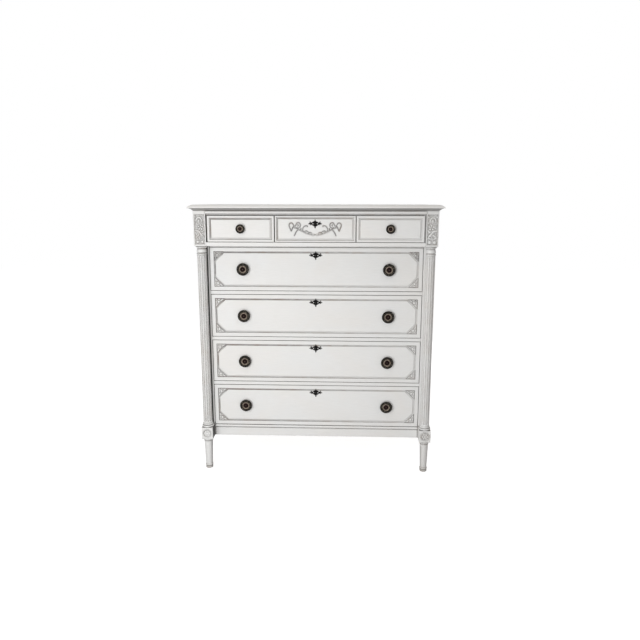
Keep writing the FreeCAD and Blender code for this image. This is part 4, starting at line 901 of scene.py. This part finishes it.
def corner_carvings(front, body):
    """The four carved corners of a long drawer front."""
    low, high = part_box(front)
    inset = (LONG_BORDER + SPANDREL_INSET) * MM
    y = low.y + (GROOVE_DEPTH - SPANDREL_RISE) * MM
    highest = body == "long_drawer_1"
    whole = Shape()
    for x, sign_x in ((low.x + inset, 1), (high.x - inset, -1)):
        for z, sign_z in ((low.z + inset, 1), (high.z - inset, -1)):
            shape = Shape()
            glaze = SPANDREL_GLAZE_SHADED if highest and sign_z < 0 else SPANDREL_GLAZE
            seat = mirrored_seat((x, y, z), sign_x, sign_z)
            spandrel_pattern().add_to(shape, seat, least=glaze)
            if sign_x * sign_z < 0:
                flip(shape)
            hollow = np.concatenate(shape.values["hollow"])
            whole.add(np.concatenate(shape.points), shape.faces, hollow=hollow)
    whole.piece(front + "_corner_leaves", body, "painted_wood", PAINT_CARVED)


def escutcheon_pattern():
    """Pierced key plate: a diamond with a finial and a drop, and a lobed arm on each side."""
    c = Carving((-28.5, 28.5), (-19.5, 19.5), PLATE_STEP)
    c.ground([(19.5, 0), (3.0, 10.6), (-3.0, 10.6), (-19.5, 0), (-3.5, -9.8), (3.5, -9.8)], 0.4)
    c.pair([(18.5, 0.6), (11, 5.6), (3.0, 10.0)], [1.2, 1.4, 1.6], 1.1)
    c.pair([(18.5, -0.6), (10.5, -5.2), (3.2, -9.2)], [1.2, 1.4, 1.6], 1.1)
    c.stroke([(0, 18), (0, 14.5), (0, 11.5), (0, 8)], [0.6, 1.4, 1.9, 3.0], 1.2)
    c.stroke([(0, 4), (0, -8)], [4.6, 4.0], 0.9)
    c.stroke([(0, -9), (0, -12), (0, -14.8), (0, -18.2)], [2.4, 1.8, 2.9, 0.6], 1.2)
    c.pair([(17, 0.2), (22, 0), (27, -0.2)], [2.4, 1.8, 1.3], 1.2)
    c.pair([(18.2, 1.5), (18.8, 5.4), (21.2, 7.8)], [1.8, 2.0, 1.5], 1.2)
    c.pair([(21.8, 1.0), (23.6, 3.6)], [1.3, 1.2], 1.0)
    c.pair([(18.8, -1.0), (20.2, -4.4)], [1.6, 1.4], 1.0)
    for side in (-1, 1):
        c.pierce(PLATE_HOLE_PLACE * side, 0, PLATE_HOLE_RADIUS)
    c.pierce(0, 0, KEYHOLE_RADIUS, KEYHOLE_SLOT, KEYHOLE_DROP)
    return c


def escutcheon(node, body):
    low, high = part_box(node)
    z = (low.z + high.z) / 2
    shape = Shape()
    escutcheon_pattern().add_to(shape, Seat((0, high.y, z)), edge=0.5, back=0.0)
    shape.piece(node + "_cast", body, "black_iron", IRON, (node,))


def knob(shape, seat, r, proud, front_thickness):
    """Collar, dished knob with a beaded wreath, a worn ring and a flower, its shank and nut.

    The profiles are given in shares of the radius r and of how far the knob stands proud.
    """
    beads = int(round(0.75 * r))

    def wreath(radius, angle):
        band = np.exp(-((radius / r - 0.78) / 0.085) ** 2)
        rim = np.exp(-((radius / r - 0.93) / 0.035) ** 2)
        leaves = np.abs(np.cos(beads * angle)) - 0.5
        return 0.9 * band * leaves + 0.4 * rim * np.cos(4 * beads * angle)

    def flower(radius, angle):
        share = np.clip(radius / (0.34 * r), 0, 1)
        return 0.9 * np.sin(math.pi * share) ** 1.5 * (np.abs(np.cos(4 * angle)) - 0.6)

    t = COLLAR_THICKNESS
    collar = [(0.50 * r, 0.0), (0.50 * r, 0.4 * t)]
    collar += arc((0.50 * r, 0.4 * t), (0.42 * r, t), -0.04 * r, 6)[1:] + [(0.0, t)]
    turned(shape, seat, collar, 48)
    back = [(0.36 * r, t)] + arc((0.36 * r, t), (0.28 * r, 0.40 * proud), 0.02 * r, 6)[1:]
    back += arc((0.28 * r, 0.40 * proud), (0.88 * r, 0.62 * proud), 0.03 * r, 8)[1:]
    back += arc((0.88 * r, 0.62 * proud), (r, 0.75 * proud), -0.03 * r, 5)[1:]
    turned(shape, seat, back, 96)
    rim = (0.90 * r, 0.88 * proud)
    dish = (0.60 * r, 0.82 * proud)
    face = [p + (0.04,) for p in arc((r, 0.75 * proud), rim, -0.03 * r, 6)]
    face += [p + (0.04,) for p in arc(rim, dish, 0.03 * r, 16)[1:]]
    face += [p + (0.90,) for p in arc(dish, (0.42 * r, 0.83 * proud), -0.055 * r, 8)[1:]]
    face += [(0.37 * r, 0.76 * proud, 0.0)]
    turned(shape, seat, face, 216, wreath)
    centre = arc((0.37 * r, 0.76 * proud), (0.0, 0.97 * proud), -0.03 * r, 12)
    centre = [(a, b, 0.3 if a < 0.08 * r else 0.0) for a, b in centre]
    turned(shape, seat, centre, 96, flower, red=1.0)
    inside = -front_thickness
    shank = [(SHANK_RADIUS, inside - NUT_THICKNESS - 1), (SHANK_RADIUS, 1.0), (0.0, 1.0)]
    turned(shape, seat, shank, 24)
    half = NUT_SIZE / 2 / math.cos(math.pi / 6)
    turned(shape, seat, [(half, inside - NUT_THICKNESS), (half, inside), (0.0, inside)], 6)


def knobs(node, body, radius, front):
    """All the pulls of one drawer, in place of its CAD node."""
    low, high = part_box(node)
    front_low, front_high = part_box(front)
    z = (low.z + high.z) / 2
    proud = (front_low.y - low.y) / MM
    thickness = (front_high.y - front_low.y) / MM
    places = [(low.x + high.x) / 2]
    if high.x - low.x > 4 * radius * MM:
        places = [low.x + radius * MM, high.x - radius * MM]
    shape = Shape()
    for x in places:
        knob(shape, Seat((x, front_low.y, z)), radius, proud, thickness)
    shape.piece(node + "_turned", body, "aged_bronze", BRONZE, (node,))


def swag_pattern():
    """A beaded garland hung between two ribbon bows, with a scroll rising from each side."""
    c = Carving((-113, 113), (-32, 30), SWAG_STEP)
    c.pair([(86, 8), (80, 17), (76, 24.5), (68, 25.5), (61.8, 18.5), (63, 9), (70, 4.0), (78, 6)],
           [1.4, 1.7, 1.9, 2.0, 1.9, 1.8, 1.6, 1.2], 2.4, 0.35, 0.4)
    c.pair([(73, 11), (70.0, 14.5), (73, 18)], [1.2, 1.8, 1.2], 2.0)
    c.pair([(88, 10), (91, 17.5), (97, 24.5), (106, 22.5), (108.5, 13), (104.5, 2), (100, -9)],
           [1.4, 1.7, 2.0, 2.0, 1.9, 2.1, 2.2], 2.4, 0.35, 0.4)
    c.pair([(90, 11), (94, 4), (99, -8)], [1.5, 2.2, 1.6], 2.2, 0.3, 0.4)
    c.pair([(72, -4), (77, -9), (81.5, -16), (87, -28)], [1.4, 1.9, 2.2, 1.8], 2.2, 0.35, 0.4)
    c.pair([(86.8, 11), (86.5, 5)], 2.7, 3.0, 0.25)
    garland = [(85, 5), (72, -0.5), (60, -7), (47, -13), (33, -19), (17, -23), (0, -24)]
    line, along = smooth_line(garland, 40)
    c.pair(garland, 1.5, 1.2)
    travelled = np.concatenate([[0], np.cumsum(np.hypot(*np.diff(line, axis=0).T))])
    place = 3.0
    while place < travelled[-1]:
        share = place / travelled[-1]
        radius = 2.1 + 1.1 * share
        u, v = (np.interp(place, travelled, line[:, k]) for k in (0, 1))
        for side in (-1, 1):
            c.bead(side * u, v, radius, 2.5 + 0.9 * share)
        place += 2.15 * radius
    c.pair([(8, -25.0), (8.2, -25.0)], 3.5, 3.6)
    c.pair([(49, -11), (52, -3), (50.5, 4), (45.5, 10.5), (38, 13.5), (31.5, 12.5), (33, 9)],
           [1.1, 1.5, 1.7, 1.7, 1.7, 1.6, 1.3], 2.2, 0.3, 0.4)
    c.pair([(45, -9.5), (37, -8.0), (28, -12)], [1.0, 2.0, 0.9], 1.9, 0.3)
    c.pair([(62, -5), (58.5, 0), (60.5, 4)], [1.2, 1.7, 1.0], 1.8, 0.3)
    c.pair([(30, -16.5), (22, -14), (13, -17)], [1.0, 1.8, 0.9], 1.9, 0.3)
    return c


def swag():
    node = "frieze_drawer_centre_swag"
    front_low, front_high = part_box("frieze_drawer_centre_front")
    shape = Shape()
    seat = Seat((0, front_low.y, (front_low.z + front_high.z) / 2))
    swag_pattern().add_to(shape, seat, edge=0.4, back=-0.2, least=SWAG_GLAZE)
    shape.piece(node + "_carved", "frieze_drawer_centre", "painted_wood", PAINT_CARVED, (node,))


def drawers():
    for number in LONG_DRAWERS:
        body = "long_drawer_%d" % number
        softened(body + "_front", PAINT_LONG, FRONT_ROUNDING)
        corner_carvings(body + "_front", body)
        knobs(body + "_knobs", body, LARGE_KNOB_RADIUS, body + "_front")
    for name in ("left", "centre", "right"):
        body = "frieze_drawer_" + name
        softened(body + "_front", PAINT_FRIEZE, FRONT_ROUNDING)
        if name != "centre":
            knobs(body + "_knob", body, SMALL_KNOB_RADIUS, body + "_front")
    locked = ["long_drawer_%d" % n for n in LONG_DRAWERS] + ["frieze_drawer_centre"]
    for body in locked:
        escutcheon(body + "_escutcheon", body)
        dressed(body + "_lock", LOCK)
        dressed(body + "_lock_bolt", LOCK)
    for body in locked + ["frieze_drawer_left", "frieze_drawer_right"]:
        dressed(body + "_box", BARE_WOOD)
    swag()


# ------------------------------------------------------------ stage
def seen_directly(nodes, links):
    """1 for the camera, reflections and glass, which see the stage itself, and else 0."""
    rays = nodes.new("ShaderNodeLightPath")
    seen = rays.outputs["Is Camera Ray"]
    for name in ("Is Glossy Ray", "Is Transmission Ray"):
        either = nodes.new("ShaderNodeMath")
        either.operation = "MAXIMUM"
        links.new(seen, either.inputs[0])
        links.new(rays.outputs[name], either.inputs[1])
        seen = either.outputs[0]
    return seen


def floor():
    """Pale floor that reads white to the camera and still takes the shadow."""
    half = FLOOR_HALF
    mesh = bpy.data.meshes.new("floor")
    mesh.from_pydata([(-half, -half, 0), (half, -half, 0), (half, half, 0), (-half, half, 0)],
                     [], [(0, 1, 2, 3)])
    material = bpy.data.materials.new("floor_pale")
    material.use_nodes = True
    nodes, links = material.node_tree.nodes, material.node_tree.links
    shader = nodes["Principled BSDF"]
    shader.inputs["Base Color"].default_value = FLOOR_PALE
    shader.inputs["Roughness"].default_value = 0.9
    shader.inputs["Specular IOR Level"].default_value = 0.1
    glow = nodes.new("ShaderNodeEmission")
    strength = nodes.new("ShaderNodeMath")
    strength.operation = "MULTIPLY"
    links.new(seen_directly(nodes, links), strength.inputs[0])
    strength.inputs[1].default_value = FLOOR_GLOW
    links.new(strength.outputs[0], glow.inputs["Strength"])
    both = nodes.new("ShaderNodeAddShader")
    links.new(shader.outputs[0], both.inputs[0])
    links.new(glow.outputs[0], both.inputs[1])
    links.new(both.outputs[0], nodes["Material Output"].inputs["Surface"])
    mesh.materials.append(material)
    piece = bpy.data.objects.new("floor", mesh)
    bpy.context.scene.collection.objects.link(piece)


def lamp(name, place, target, width, height, power, tint):
    """A soft box of light, turned towards the target."""
    data = bpy.data.lights.new(name, "AREA")
    data.color = tint
    data.shape = "RECTANGLE"
    data.size = width
    data.size_y = height
    data.energy = power
    piece = bpy.data.objects.new(name, data)
    bpy.context.scene.collection.objects.link(piece)
    piece.location = place
    aim = Vector(target) - Vector(place)
    piece.rotation_euler = aim.to_track_quat("-Z", "Y").to_euler()


def world():
    """Even, slightly warm light from all round; seen directly, the room is white."""
    sky = bpy.data.worlds.new("studio")
    bpy.context.scene.world = sky
    sky.use_nodes = True
    nodes, links = sky.node_tree.nodes, sky.node_tree.links
    tone = nodes.new("ShaderNodeMix")
    tone.data_type = "RGBA"
    links.new(seen_directly(nodes, links), tone.inputs[0])
    tone.inputs[6].default_value = ROOM_LIGHT
    tone.inputs[7].default_value = WHITE
    links.new(tone.outputs[2], nodes["Background"].inputs["Color"])


def camera():
    """The viewpoint: a little right of the middle, looking slightly left and down."""
    data = bpy.data.cameras.new("camera")
    data.lens = CAMERA_LENS
    data.sensor_width = CAMERA_SENSOR
    piece = bpy.data.objects.new("camera", data)
    bpy.context.scene.collection.objects.link(piece)
    piece.location = CAMERA_PLACE
    aim = Vector((math.sin(CAMERA_YAW) * math.cos(CAMERA_PITCH),
                  math.cos(CAMERA_YAW) * math.cos(CAMERA_PITCH),
                  -math.sin(CAMERA_PITCH)))
    turn = aim.to_track_quat("-Z", "Y").to_matrix().to_4x4() @ Matrix.Rotation(CAMERA_ROLL, 4, "Z")
    piece.rotation_euler = turn.to_euler()
    bpy.context.scene.camera = piece


case_boards()
block_carvings()
rosettes()
drawers()
floor()
world()
for lamp_settings in LAMPS:
    lamp(*lamp_settings)
camera()
bpy.context.scene.view_settings.view_transform = "Standard"
